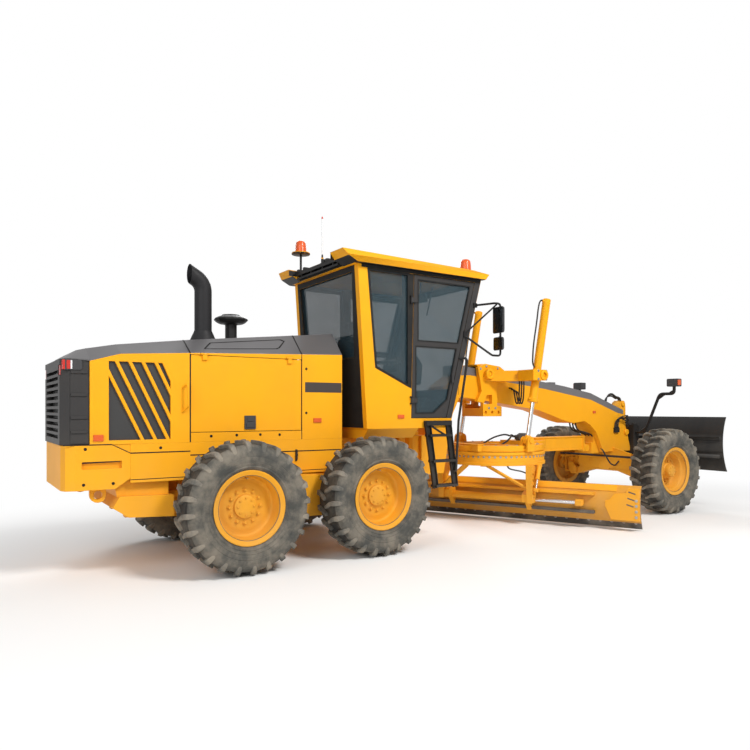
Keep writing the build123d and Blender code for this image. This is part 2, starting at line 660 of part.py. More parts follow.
def front_frame():
    """The gooseneck: knuckle, leg, beam and nose, with the hanger of the front axle and the ball socket."""
    w = FRAME_HALF_WIDTH
    beam = slab_y(list(FRAME_TOP) + [
        (7440, 990), (7440, NOSE_BOTTOM_Z), (6720, NOSE_BOTTOM_Z), (6630, 1120), (6540, 1270),
        (6400, 1385), (6250, 1450), (5980, 1420), (5780, 1460), (5180, 1630), (4380, 1730),
        (3590, 1820), (3450, 1560), (3380, 1200), (3300, 755), (HITCH_X, 755),
        (HITCH_X, 1285), (3060, 1285), (3120, 1600), (3300, 1960),
    ], (-w, w))
    inner_low, inner_high = HITCH_Z[0] + HITCH_PLATE + MOVING_GAP, HITCH_Z[1] - HITCH_PLATE - MOVING_GAP
    knuckle = post((HITCH_X, 0, inner_low), (HITCH_X, 0, inner_high), HITCH_RADIUS, 16)
    clear = block((HITCH_X - 300, HITCH_X + HITCH_RADIUS + 40), (-400, 400), (600, inner_low))
    clear += block((HITCH_X - 300, HITCH_X + HITCH_RADIUS + 40), (-400, 400), (inner_high, 1400))
    sides = both(block((HITCH_X - 300, HITCH_X + 60), (HITCH_RADIUS, 400), (600, 1400)))
    bore = hole((HITCH_X, 0, 600), (HITCH_X, 0, 1400), HITCH_PIN + PIN_CLEARANCE)
    frame = (beam - clear - sides) + knuckle - bore
    hangers = Part()
    for x in (6965, 7180):
        hangers += slab_x([(-130, NOSE_BOTTOM_Z + 5), (130, NOSE_BOTTOM_Z + 5), (90, 620), (-90, 620)],
                          (x, x + 25))
    ball_x, ball_z = BALL
    socket = block((ball_x + 70, 6780), (-90, 90), (ball_z - 90, ball_z + 90))
    socket += block((ball_x + 120, 6780), (-90, 90), (ball_z, 1290))
    stud = block((ball_x, ball_x + 90), (-34, 34), (ball_z - 34, ball_z + 34))
    stud += rod((ball_x, -BALL_HALF, ball_z), (ball_x, BALL_HALF, ball_z), BALL_RADIUS)
    return frame + hangers + socket + stud


def frame_cover():
    """The grey moulding along the top of the gooseneck."""
    w = FRAME_HALF_WIDTH - 5
    low = [(x, z + 0.3) for x, z in FRAME_TOP]
    top = [(7260, 1630), (6410, 1910), (5780, 2010), (4360, 2180), (3550, 2270)]
    cover = slab_y(low + top, (-w, w))
    lamp = block((5560, 5680), (-60, 60), (2020, 2075))
    return cover + lamp


def lift_saddle():
    """The saddle over the beam, its two arms with their forks and the lower link bar."""
    w = FRAME_HALF_WIDTH + SEAT_GAP
    bar_rear, bar_front = SADDLE_BAR_X
    plate = slab_y([(3880, 2240), (4010, 2300), (4300, 2270), (4420, 2200), (4420, 2040), (4250, 1980),
                    (4250, 1700), (bar_front, 1680), (bar_front, 1540), (bar_rear, 1540), (bar_rear, 1735),
                     (3860, 1755), (3950, 1900)],
                   (w, w + 60))
    window = slab_y([(3990, 1720), (4150, 1720), (4150, 1850), (4050, 1850)], (w - 10, w + 80))
    holes = [post((x, w - 10, 1600), (x, w + 80, 1600), 22, 8) for x in (4030, 4155, 4280)]
    boss = post((4050, w + 50, 2150), (4050, w + 110, 2150), 70)
    arm_x, arm_z = LIFT_TRUNNION[0] - 60, LIFT_TRUNNION[1]
    arm = slab_z([(4020, w + 50), (4400, w + 50), (4560, 520), (4560, LIFT_Y - 150), (4400, LIFT_Y - 150),
                  (4360, 520)], (arm_z - 75, arm_z + 75))
    fork = Part()
    for y in (LIFT_Y - 150, LIFT_Y + 85):
        fork += block((arm_x - 90, LIFT_TRUNNION[0] + 60), (y, y + 60), (arm_z - 75, arm_z + 75))
    back = block((arm_x - 150, arm_x - 60), (LIFT_Y - 150, LIFT_Y + 145), (arm_z - 75, arm_z + 75))
    pins = hole((LIFT_TRUNNION[0], LIFT_Y - 160, arm_z), (LIFT_TRUNNION[0], LIFT_Y + 150, arm_z),
                TRUNNION_RADIUS + PIN_CLEARANCE)
    bar = block(SADDLE_BAR_X, (-w - 10, w + 10), (1540, 1660))
    top = slab_y([(3900, 2290), (4020, 2302), (4280, 2272), (4280, 2230), (3900, 2265)], (-w - 10, w + 10))
    half = (plate - window - holes) + boss + (arm + back + fork - pins)
    return both(half) + bar + top


def lift_direction():
    run = (LIFT_EYE[0] - LIFT_TRUNNION[0], LIFT_EYE[1] - LIFT_TRUNNION[1])
    length = (run[0] ** 2 + run[1] ** 2) ** 0.5
    return run[0] / length, run[1] / length, length


def along_lift(distance):
    """A point on the lift cylinder's axis, measured down from the trunnion."""
    dx, dz, _ = lift_direction()
    return (LIFT_TRUNNION[0] + dx * distance, LIFT_Y, LIFT_TRUNNION[1] + dz * distance)


def lift_barrel(hand):
    barrel = post(along_lift(-LIFT_TOP), along_lift(BARREL_BELOW), BARREL_RADIUS)
    barrel += post(along_lift(BARREL_BELOW - 60), along_lift(BARREL_BELOW), BARREL_RADIUS + 14)
    barrel += post(along_lift(-75), along_lift(75), TRUNNION_BAND)
    x, z = LIFT_TRUNNION
    barrel += rod((x, LIFT_Y - 140, z), (x, LIFT_Y + 140, z), TRUNNION_RADIUS)
    bore = hole(along_lift(-LIFT_TOP + 40), along_lift(BARREL_BELOW + 10), ROD_RADIUS + PIN_CLEARANCE)
    return side(barrel - bore, hand)


def lift_rod(hand):
    _, _, length = lift_direction()
    stem = rod(along_lift(length - ROD_LENGTH), along_lift(length - 20), ROD_RADIUS)
    eye = post((LIFT_EYE[0], LIFT_Y - 35, LIFT_EYE[1]), (LIFT_EYE[0], LIFT_Y + 35, LIFT_EYE[1]), 58)
    return side(stem + eye, hand)


def hydraulic_hoses():
    """Three hoses that hang from the arm of the saddle to the beam on the right side."""
    hoses = Part()
    for n in range(3):
        x = 4430 + 45 * n
        start = (x, -500, LIFT_TRUNNION[1] - 75.5)
        end = (x + 120, -FRAME_HALF_WIDTH - 0.5, 1960 - 20 * n)
        path = [start, (x, -500, 1820), (x + 40, -420, 1710), (x + 90, -330, 1760),
                (x + 120, -270, end[2]), end]
        hoses += bent_tube(path, 45, 11, 6)
    return hoses


# Drawbar, circle and blade

def drawbar():
    """The tongue with its eye, the yoke over the circle and the brackets of the lift cylinders."""
    ball_x, ball_z = BALL
    ring_low, ring_high = CIRCLE_Z[1] + MOVING_GAP, CIRCLE_Z[1] + 90
    tongue = block((CIRCLE_X + CIRCLE_RADIUS + 15, 6310), (-110, 110), TONGUE_Z)
    tongue += slab_z([(5400, -110), (5400, 110), (5060, 330), (4850, 330), (4850, -330), (5060, -330)],
                     (ring_low, ring_high + 30))
    tongue += slab_y([(6300, TONGUE_Z[0]), (6300, TONGUE_Z[1]), (ball_x - 75, 1120), (ball_x - 50, ball_z + 60),
                      (ball_x - 50, ball_z - 60)], (-60, 60))
    tongue -= hole((ball_x, -100, ball_z), (ball_x, 100, ball_z), BALL_RADIUS + 0.3, 16)
    ring = post((CIRCLE_X, 0, ring_low), (CIRCLE_X, 0, ring_high), CIRCLE_RADIUS - 20, 32)
    ring -= post((CIRCLE_X, 0, ring_low - 10), (CIRCLE_X, 0, ring_high + 10), CIRCLE_BORE - 40, 32)
    beam = block((LIFT_EYE[0] - 70, LIFT_EYE[0] + 70), (-LIFT_Y + 30, LIFT_Y - 30), (ring_low, 1110))
    rear = block((3720, 3820), (-400, 400), (ring_low, 1150))
    ears = Part()
    for y in (LIFT_Y - 75, LIFT_Y + 45):
        ears += slab_y([(LIFT_EYE[0] - 70, ring_low), (LIFT_EYE[0] + 70, ring_low),
                        (LIFT_EYE[0] + 60, 1260), (LIFT_EYE[0] - 60, 1260)], (y, y + 30))
    sole = block((LIFT_EYE[0] - 70, LIFT_EYE[0] + 70), (LIFT_Y - 75, LIFT_Y + 75),
                 (ring_low, ring_low + 40))
    motor = post((5000, 0, ring_high + 25), (5000, 0, ring_high + 145), 95)
    shoe = block((CIRCLE_BORE - 45, CIRCLE_BORE - 10), (-60, 60), (CIRCLE_Z[0] - 20, ring_low + 5))
    shoe += block((CIRCLE_BORE - 45, CIRCLE_BORE + 20), (-60, 60), (CIRCLE_Z[0] - 20, CIRCLE_Z[0] - 0.3))
    shoes = [Pos(CIRCLE_X, 0, 0) * Rot(0, 0, angle) * shoe for angle in (35, 145, 215, 325)]
    return tongue + ring + beam + rear + both(ears + sole) + motor + shoes


def to_blade(shape):
    """Puts a shape modelled square about the circle's centre at the angle of the blade."""
    return Pos(CIRCLE_X, 0, 0) * Rot(0, 0, BLADE_ANGLE) * shape


def circle_ring():
    """The turning circle with its two legs, whose lower ends carry the blade."""
    low, high = CIRCLE_Z
    ring = post((0, 0, low), (0, 0, high), CIRCLE_RADIUS, 32)
    ring -= post((0, 0, low - 5), (0, 0, high + 5), CIRCLE_BORE, 32)
    leg = slab_y([(-440, low + 10), (60, low + 10), (20, low - 70), (-160, 720), (-240, 620),
                  (TILT_X + 80, TILT_Z + 60), (TILT_X + 68, TILT_Z - 60), (TILT_X - 70, TILT_Z - 60),
                  (TILT_X - 75, TILT_Z + 60), (-440, 620)], (TILT_Y, TILT_Y + 60))
    leg -= hole((TILT_X, TILT_Y - 10, TILT_Z), (TILT_X, TILT_Y + 70, TILT_Z), 30 + PIN_CLEARANCE)
    return to_blade(ring + both(leg))


def blade_carrier():
    """The tilting carrier: brackets with guides for the two rails, and the barrel of the side shift."""
    y0 = TILT_Y - 70 - MOVING_GAP
    bracket = slab_y([(TILT_X - 50, TILT_Z - 50), (TILT_X + 80, TILT_Z - 60), (RAIL_X - 10, 195),
                      (RAIL_X + 8, 195), (RAIL_X + 8, 525), (RAIL_X - 40, 525), (TILT_X - 50, TILT_Z + 60)],
                     (y0, y0 + 70))
    for z in BLADE_RAIL_Z:
        bracket -= block((RAIL_X - RAIL_DEPTH / 2 - 0.5, RAIL_X + 60), (0, 1000),
                         (z - RAIL_DEPTH / 2 - 0.5, z + RAIL_DEPTH / 2 + 0.5))
    pin = rod((TILT_X, y0 + 30, TILT_Z), (TILT_X, TILT_Y + 75, TILT_Z), 30)
    head = post((SHIFT_X, -y0, SHIFT_Z), (SHIFT_X, y0 + 60, SHIFT_Z), 52)
    bore = hole((SHIFT_X, -y0 - 100, SHIFT_Z), (SHIFT_X, y0 + 50, SHIFT_Z), 26 + PIN_CLEARANCE)
    return to_blade(both(bracket + pin) + head - bore)


def blade_section():
    """The curved section of the moldboard, concave to the front."""
    rear = BLADE_BACK_X
    lip = rear + BLADE_DEPTH
    middle = (BLADE_TOP_Z + BLADE_LOW_Z) / 2
    arc = ThreePointArc((lip, 0, BLADE_LOW_Z), (rear, 0, middle), (lip, 0, BLADE_TOP_Z))
    back = ThreePointArc((lip - BLADE_WALL, 0, BLADE_TOP_Z), (rear - BLADE_WALL, 0, middle),
                         (lip - BLADE_WALL, 0, BLADE_LOW_Z))
    top = Line(arc @ 1, back @ 0)
    bottom = Line(back @ 1, arc @ 0)
    return make_face(arc + top + back + bottom)


def moldboard():
    """The curved blade with its cutting edge, end bits, two slide rails and side shift rod."""
    shell = extrude(Pos(0, -BLADE_HALF, 0) * blade_section(), amount=2 * BLADE_HALF, dir=(0, 1, 0))
    top_x = BLADE_BACK_X + 62
    edge = slab_y([(top_x, BLADE_LOW_Z + 30), (top_x + 24, BLADE_LOW_Z + 30), (top_x + 110, BLADE_EDGE_Z),
                   (top_x + 86, BLADE_EDGE_Z)], (-BLADE_HALF, BLADE_HALF))
    rails = Part()
    for z in BLADE_RAIL_Z:
        half = RAIL_DEPTH / 2
        rails += block((RAIL_X - half, BLADE_BACK_X + 12), (-RAIL_HALF, RAIL_HALF), (z - half, z + half))
    lug = block((SHIFT_X - 50, BLADE_BACK_X - 10), (-SHIFT_LUG - 40, -SHIFT_LUG + 40), (SHIFT_Z - 45, SHIFT_Z + 45))
    stem = rod((SHIFT_X, -SHIFT_LUG, SHIFT_Z), (SHIFT_X, 40, SHIFT_Z), 26)
    return to_blade(shell + edge + rails + lug + stem)


# Front axle

def front_axle():
    """The arched beam, hung on its centre pin, with an eye for the lean pivot at each end."""
    x = FRONT_AXLE_X
    beam = slab_x([(-600, 500), (-600, 600), (-250, 790), (250, 790), (600, 600), (600, 500), (250, 600),
                   (-250, 600)], (x - 85, x + 85))
    eyes = both(post((x - 85, LEAN_Y, LEAN_Z), (x + 85, LEAN_Y, LEAN_Z), 62)
                + block((x - 85, x + 85), (590, LEAN_Y), (LEAN_Z - 50, LEAN_Z + 50)))
    bores = both(hole((x - 100, LEAN_Y, LEAN_Z), (x + 100, LEAN_Y, LEAN_Z), 30 + PIN_CLEARANCE))
    pin = post((x - 94.7, 0, 700), (x + 94.7, 0, 700), 40)
    return beam + eyes - bores + pin


def lean_yoke(hand):
    """The yoke that leans on the axle's end and holds the kingpin."""
    x = FRONT_AXLE_X
    cheeks = Part()
    for x0 in (x - 85 - MOVING_GAP - 24, x + 85 + MOVING_GAP):
        cheeks += slab_x([(LEAN_Y - 60, LEAN_Z - 60), (LEAN_Y + 60, LEAN_Z - 60), (KINGPIN_Y - 22, 620),
                          (KINGPIN_Y - 22, 700), (LEAN_Y + 40, 700), (LEAN_Y - 60, LEAN_Z + 60)], (x0, x0 + 24))
    pin = rod((x - 112, LEAN_Y, LEAN_Z), (x + 112, LEAN_Y, LEAN_Z), 30)
    body = block((x - 114, x + 114), (LEAN_Y + 70, KINGPIN_Y - 22), (620, 700))
    barrel = post((x, KINGPIN_Y, 557), (x, KINGPIN_Y, 785), 60)
    king = rod((x, KINGPIN_Y, 505), (x, KINGPIN_Y, 840), 28)
    arm = block((x - 30, x + 30), (LEAN_Y - 30, KINGPIN_Y), (660, 780))
    arm += slab_x([(LEAN_Y - 35, 660), (LEAN_Y + 35, 660), (LEAN_Y + 35, LEAN_BAR_Z),
                    (LEAN_Y - 35, LEAN_BAR_Z)], (x - 30, x + 30))
    arm += post((x - 30, LEAN_Y, LEAN_BAR_Z), (x + 30, LEAN_Y, LEAN_BAR_Z), 35)
    bar_pin = post((x - 62, LEAN_Y, LEAN_BAR_Z), (x + 62, LEAN_Y, LEAN_BAR_Z), 14)
    return side(cheeks + pin + body + barrel + king + arm + bar_pin, hand)


def lean_bar():
    """The bar that keeps both yokes at one angle, forked over each of them."""
    x = FRONT_AXLE_X
    bar = block((x - 22, x + 22), (-LEAN_Y + 70, LEAN_Y - 70), (LEAN_BAR_Z - 22, LEAN_BAR_Z + 22))
    for hand in (1, -1):
        for x0 in (x - 60, x + 36):
            plate = slab_x([(LEAN_Y - 120, LEAN_BAR_Z - 22), (LEAN_Y, LEAN_BAR_Z - 22),
                            (LEAN_Y + 22, LEAN_BAR_Z), (LEAN_Y, LEAN_BAR_Z + 22),
                            (LEAN_Y - 120, LEAN_BAR_Z + 22)], (x0, x0 + 24))
            eye = hole((x0 - 5, LEAN_Y, LEAN_BAR_Z), (x0 + 30, LEAN_Y, LEAN_BAR_Z), 14 + PIN_CLEARANCE)
            bar += side(plate - eye, hand)
        bar += side(block((x - 60, x + 60), (LEAN_Y - 120, LEAN_Y - 70), (LEAN_BAR_Z - 22, LEAN_BAR_Z + 22)),
                    hand)
    return bar


def spindle(hand):
    """The C-shaped knuckle on the kingpin, with the stub of the wheel and the steering arm."""
    x = FRONT_AXLE_X
    ears = Part()
    for z in (515, 795):
        ears += post((x, KINGPIN_Y, z), (x, KINGPIN_Y, z + 36), 58)
        ears += block((x - 58, x + 58), (KINGPIN_Y, KINGPIN_Y + 100), (z, z + 36))
    ears -= hole((x, KINGPIN_Y, 480), (x, KINGPIN_Y, 860), 28 + PIN_CLEARANCE)
    wall = block((x - 60, x + 60), (KINGPIN_Y + 72, KINGPIN_Y + 108), (515, 831))
    stub = rod((x, KINGPIN_Y + 100, TYRE_RADIUS), (x, WHEEL_Y + 15, TYRE_RADIUS), STUB_RADIUS)
    arm = block((x - STEER_ARM, x - 40), (KINGPIN_Y - 28, KINGPIN_Y + 28), (795, 813))
    arm += post((x - STEER_ARM, KINGPIN_Y, 795), (x - STEER_ARM, KINGPIN_Y, 813), 34)
    ball_pin = post((x - STEER_ARM, KINGPIN_Y, 796), (x - STEER_ARM, KINGPIN_Y, TIE_ROD_Z + 25), 14)
    return side(ears + wall + stub + arm + ball_pin, hand)


def tie_rod_end():
    """The swivel on the left steering arm, with a pin along x for the rod."""
    x = FRONT_AXLE_X - STEER_ARM
    ball = post((x, KINGPIN_Y, TIE_ROD_Z - 8), (x, KINGPIN_Y, TIE_ROD_Z + 22), 26)
    ball -= hole((x, KINGPIN_Y, TIE_ROD_Z - 30), (x, KINGPIN_Y, TIE_ROD_Z + 40), 14 + PIN_CLEARANCE)
    pin = post((x - 50, KINGPIN_Y, TIE_ROD_Z + 7), (x - 24, KINGPIN_Y, TIE_ROD_Z + 7), 9)
    pin += post((x + 24, KINGPIN_Y, TIE_ROD_Z + 7), (x + 50, KINGPIN_Y, TIE_ROD_Z + 7), 9)
    return ball + pin


def tie_rod():
    """The rod between the steering arms, forked at the left and open at the right."""
    x = FRONT_AXLE_X - STEER_ARM
    z = TIE_ROD_Z + 7
    bar = post((x, -KINGPIN_Y + 60, z), (x, KINGPIN_Y - 75, z), 18, 8)
    bar += block((x - 46, x + 46), (KINGPIN_Y - 90, KINGPIN_Y - 66), (z - 16, z + 16))
    for x0 in (x - 46, x + 32):
        cheek = block((x0, x0 + 14), (KINGPIN_Y - 80, KINGPIN_Y + 14), (z - 14, z + 14))
        bar += cheek - hole((x0 - 5, KINGPIN_Y, z), (x0 + 20, KINGPIN_Y, z), 9 + PIN_CLEARANCE)
    slack = 14 + TIE_ROD_DRIFT + MOVING_GAP
    bar += (post((x, -KINGPIN_Y, z - 13), (x, -KINGPIN_Y, z + 13), slack + 20)
            - hole((x, -KINGPIN_Y, z - 20), (x, -KINGPIN_Y, z + 20), slack))
    bar += block((x - 14, x + 14), (-KINGPIN_Y + slack + 12, -KINGPIN_Y + 70), (z - 13, z + 13))
    return bar


# Front blade

def dozer_mount():
    """The plates on the nose, with pins for the arms and cylinder, and the lamp tubes."""
    plate = slab_y([(7445, 640), (7560, 640), (7660, 700), (7660, 820), (7590, 900), (7590, 1340),
                    (7530, 1400), (7445, 1400)], (200, 240))
    cross = block((7440.3, 7480), (-240, 240), (700, 1380))
    low = block((7440.3, 7500), (-DOZER_ARM_Y - 30, DOZER_ARM_Y + 30), (690, 830))
    pin_x, pin_z = DOZER_PIN
    ears = both(slab_y([(7480, 690), (pin_x, 690), (pin_x + 60, 730), (pin_x + 60, 800), (pin_x, 830),
                        (7480, 830)], (240, DOZER_ARM_Y - 6)))
    pins = both(rod((pin_x, 230, pin_z), (pin_x, DOZER_ARM_Y + 66, pin_z), 30))
    head_x, head_z = DOZER_CYLINDER_HEAD
    cheeks = both(block((7475, head_x + 40), (45, 75), (head_z - 50, head_z + 50)))
    cheeks -= hole((head_x, -100, head_z), (head_x, 100, head_z), 22 + PIN_CLEARANCE)
    tubes = both(bent_tube([(7500, 200, 1250), (7500, 420, 1250), (7500, 700, 1900), (7500, 960, 1900),
                            (7500, 960, 2020)], 90, 24, 6))
    lamps = both(block((7440, 7560), (870, 1050), (2020, 2140)))
    return both(plate) + cross + low + ears + pins + cheeks + tubes + lamps


def dozer_arms():
    """Two push arms joined by a cross tube, pinned to the mount and to the blade."""
    pin_x, pin_z = DOZER_PIN
    eye_x, eye_z = DOZER_EYE
    y0, y1 = DOZER_ARM_Y, DOZER_ARM_Y + 50
    arm = Part()
    dx, dz = eye_x - pin_x, eye_z - pin_z
    length = (dx ** 2 + dz ** 2) ** 0.5
    nx, nz = -dz / length * 45, dx / length * 45
    arm += slab_y([(pin_x + nx, pin_z + nz), (pin_x - nx, pin_z - nz), (eye_x - nx, eye_z - nz),
                   (eye_x + nx, eye_z + nz)], (y0, y1))
    for x, z in (DOZER_PIN, DOZER_EYE):
        arm += post((x, y0, z), (x, y1, z), 55)
    arm -= hole((pin_x, 0, pin_z), (pin_x, 500, pin_z), 30 + PIN_CLEARANCE)
    arm -= hole((eye_x, 0, eye_z), (eye_x, 500, eye_z), 26 + PIN_CLEARANCE)
    low_x, low_z = DOZER_CYLINDER_EYE
    middle = (low_x + 85, low_z + 34)
    tube = post((middle[0], -y0 - 5, middle[1]), (middle[0], y0 + 5, middle[1]), 40)
    ear = slab_y([(low_x - 38, low_z - 30), (middle[0] + 10, middle[1] - 34), (middle[0] + 10, middle[1] + 34),
                  (low_x - 20, low_z + 40), (low_x - 38, low_z + 30)], (38, 58))
    ear += post((low_x, 55, low_z), (low_x, 68, low_z), 24, 8)
    return both(arm + ear) + tube


def dozer_blade():
    """The curved front blade with its side plates, back ribs and pin ears."""
    low, high = DOZER_Z
    middle = (low + high) / 2
    front = ThreePointArc((DOZER_X + 150, -DOZER_HALF, low), (DOZER_X + 20, -DOZER_HALF, middle),
                          (DOZER_X + 120, -DOZER_HALF, high))
    back = ThreePointArc((DOZER_X + 100, -DOZER_HALF, high), (DOZER_X, -DOZER_HALF, middle),
                         (DOZER_X + 130, -DOZER_HALF, low))
    section = make_face(front + Line(front @ 1, back @ 0) + back + Line(back @ 1, front @ 0))
    blade = extrude(section, amount=2 * DOZER_HALF, dir=(0, 1, 0))
    eye_x, eye_z = DOZER_EYE
    ears = Part()
    for y in (DOZER_ARM_Y - 6 - 36, DOZER_ARM_Y + 50 + 6):
        ears += slab_y([(eye_x - 50, eye_z - 60), (DOZER_X + 22, eye_z - 110), (DOZER_X + 22, eye_z + 110),
                        (eye_x - 50, eye_z + 60)], (y, y + 36))
    pins = rod((eye_x, DOZER_ARM_Y - 20, eye_z), (eye_x, DOZER_ARM_Y + 80, eye_z), 26)
    ribs = [block((DOZER_X - 25, DOZER_X + 22), (-DOZER_HALF + 40, DOZER_HALF - 40), (z, z + 60))
            for z in (eye_z + 120, eye_z - 180)]
    return blade + both(ears + pins) + ribs


def dozer_line(distance):
    """A point on the axis of the front blade's cylinder, measured from its upper pin."""
    head_x, head_z = DOZER_CYLINDER_HEAD
    eye_x, eye_z = DOZER_CYLINDER_EYE
    length = dozer_length()
    return (head_x + (eye_x - head_x) * distance / length, 0, head_z + (eye_z - head_z) * distance / length)


def dozer_length():
    """The distance between the two pins of the front blade's cylinder."""
    return ((DOZER_CYLINDER_EYE[0] - DOZER_CYLINDER_HEAD[0]) ** 2
            + (DOZER_CYLINDER_EYE[1] - DOZER_CYLINDER_HEAD[1]) ** 2) ** 0.5


def dozer_cylinder():
    head_x, head_z = DOZER_CYLINDER_HEAD
    barrel = post(dozer_line(20), dozer_line(350), 38)
    barrel += post((head_x, -38, head_z), (head_x, 38, head_z), 40)
    barrel += rod((head_x, -76, head_z), (head_x, 76, head_z), 22)
    return barrel - hole(dozer_line(50), dozer_line(360), 20 + PIN_CLEARANCE)


def dozer_rod():
    eye_x, eye_z = DOZER_CYLINDER_EYE
    stem = rod(dozer_line(75), dozer_line(dozer_length() - 5), 20)
    return stem + rod((eye_x, -32, eye_z), (eye_x, 32, eye_z), 30)


def nodes():
    """Every node of the machine by name."""
    made = {
        "rear_frame": rear_frame(),
        "rear_bumper": rear_bumper(),
        "engine_hood": engine_hood(),
        "hood_sides": hood_sides(),
        "rear_grille": rear_grille(),
        "engine_block": engine_block(),
        "exhaust_and_intake": exhaust_and_intake(),
        "tandem_cases": tandem_cases(),
        "lamp_lenses": lamp_lenses(),
        "cab_body": cab_body(),
        "cab_roof": cab_roof(),
        "cab_glass": cab_glass(),
        "cab_interior": cab_interior(),
        "access_ladders": access_ladders(),
        "mirror_frames": mirror_frames(),
        "front_frame": front_frame(),
        "frame_cover": frame_cover(),
        "lift_saddle": lift_saddle(),
        "front_axle": front_axle(),
        "hydraulic_hoses": hydraulic_hoses(),
        "dozer_mount": dozer_mount(),
        "dozer_arms": dozer_arms(),
        "dozer_blade": dozer_blade(),
        "dozer_cylinder": dozer_cylinder(),
        "dozer_rod": dozer_rod(),
        "drawbar": drawbar(),
        "circle_ring": circle_ring(),
        "blade_carrier": blade_carrier(),
        "moldboard": moldboard(),
        "lean_bar": lean_bar(),
        "tie_rod_end": tie_rod_end(),
        "tie_rod": tie_rod(),
    }
    a_tyre = tyre()
    for name, hand in (("right", -1), ("left", 1)):
        made[f"hood_door_{name}"] = hood_door(hand)
        made[f"cab_door_{name}"] = cab_door_frame(hand)
        made[f"cab_door_glass_{name}"] = cab_door_glass(hand)
        made[f"lift_barrel_{name}"] = lift_barrel(hand)
        made[f"lift_rod_{name}"] = lift_rod(hand)
        made[f"lean_yoke_{name}"] = lean_yoke(hand)
        made[f"spindle_{name}"] = spindle(hand)
        for row, x, rim in (("rear", 0, rear_rim()), ("middle", TANDEM_PITCH, rear_rim()),
                            ("front", FRONT_AXLE_X, front_rim())):
            made[f"{row}_tyre_{name}"] = place_wheel(a_tyre, x, hand)
            made[f"{row}_rim_{name}"] = place_wheel(rim, x, hand)
    return made


def main():
    os.makedirs("parts", exist_ok=True)
    for name, shape in nodes().items():
        export_step(Pos(-MID_X, 0, 0) * shape, f"parts/{name}.step")


main()
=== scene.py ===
import math

import bmesh
import bpy
from mathutils import Matrix, Vector
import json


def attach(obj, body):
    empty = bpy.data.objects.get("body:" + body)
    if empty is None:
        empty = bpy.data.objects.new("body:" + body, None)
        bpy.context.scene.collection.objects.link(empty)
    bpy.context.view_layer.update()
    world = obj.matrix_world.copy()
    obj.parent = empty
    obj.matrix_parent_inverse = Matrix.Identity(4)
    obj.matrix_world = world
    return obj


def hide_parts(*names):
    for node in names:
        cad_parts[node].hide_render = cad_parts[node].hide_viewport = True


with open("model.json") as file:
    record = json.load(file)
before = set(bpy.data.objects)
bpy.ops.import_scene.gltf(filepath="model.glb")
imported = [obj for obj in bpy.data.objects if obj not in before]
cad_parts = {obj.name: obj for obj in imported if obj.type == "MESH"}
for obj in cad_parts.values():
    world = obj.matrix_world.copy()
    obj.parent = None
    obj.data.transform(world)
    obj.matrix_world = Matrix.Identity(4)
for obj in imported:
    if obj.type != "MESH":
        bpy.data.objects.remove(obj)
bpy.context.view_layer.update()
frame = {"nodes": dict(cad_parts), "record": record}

# Motor grader, in metres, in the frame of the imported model: x forward, y to the machine's left, z up. The helpers
# take x measured forward from the rearmost axle instead; AXLE_REAR is where that axle stands in the frame.
AXLE_REAR = -3.37
ORIGIN = Vector((AXLE_REAR, 0, 0))
AXLES = {"rear": 0.0, "middle": 1.576, "front": 7.085}
HANDS = (("right", -1), ("left", 1))
TYRE_RADIUS = 0.67
TYRE_HALF = 0.2225
TREAD_EDGE = 0.619
TANDEM_FACE = 0.806
WHEEL_Y = 1.07

# Colours, linear
YELLOW = (0.88, 0.385, 0.005)
HOOD_GREY = (0.185, 0.18, 0.185)
DARK_GREY = (0.035, 0.034, 0.035)
BLACK = (0.012, 0.012, 0.013)
DUST = (0.42, 0.36, 0.28)
STEEL = (0.42, 0.41, 0.39)


def across(side, near, far):
    """The two y values of a piece on one side, lower first."""
    return sorted((side * near, side * far))


def angles(count):
    """Angles spread evenly round a circle."""
    return [2 * math.pi * n / count for n in range(count)]


# Shaders

class Shade:
    """A value in a material; arithmetic on it adds Math nodes, and node() adds any other node."""

    def __init__(self, tree, socket=None):
        self.tree = tree
        self.socket = socket

    def node(self, kind, settings=None, inputs=None, output=0):
        made = self.tree.nodes.new(kind)
        for name, value in (settings or {}).items():
            setattr(made, name, value)
        for key, value in (inputs or {}).items():
            if isinstance(value, Shade):
                self.tree.links.new(value.socket, made.inputs[key])
            else:
                made.inputs[key].default_value = value
        return Shade(self.tree, made.outputs[output])

    def maths(self, operation, *values):
        return self.node("ShaderNodeMath", {"operation": operation}, dict(enumerate(values)))

    def __add__(self, other):
        return self.maths("ADD", self, other)

    def __sub__(self, other):
        return self.maths("SUBTRACT", self, other)

    def __rsub__(self, other):
        return self.maths("SUBTRACT", other, self)

    def __mul__(self, other):
        return self.maths("MULTIPLY", self, other)

    __radd__ = __add__
    __rmul__ = __mul__

    def clamp(self):
        return self.node("ShaderNodeClamp", inputs={"Value": self})

    def smooth(self, low, high):
        """0 below low, 1 above high and smooth between."""
        return self.node("ShaderNodeMapRange", {"interpolation_type": "SMOOTHSTEP"},
            {"Value": self, "From Min": low, "From Max": high})

    def noise(self, scale, detail=3.0, roughness=0.55):
        return self.node("ShaderNodeTexNoise", inputs={"Vector": self, "Scale": scale, "Detail": detail,
            "Roughness": roughness})

    def part(self, letter):
        return self.node("ShaderNodeSeparateXYZ", inputs={"Vector": self}, output=letter)

    def mix(self, low, high):
        """A colour from low to high as this value goes from 0 to 1."""
        made = self.tree.nodes.new("ShaderNodeMix")
        made.data_type = "RGBA"
        for index, value in ((0, self), (6, low), (7, high)):
            if isinstance(value, Shade):
                self.tree.links.new(value.socket, made.inputs[index])
            else:
                made.inputs[index].default_value = (*value, 1.0)
        return Shade(self.tree, made.outputs[2])


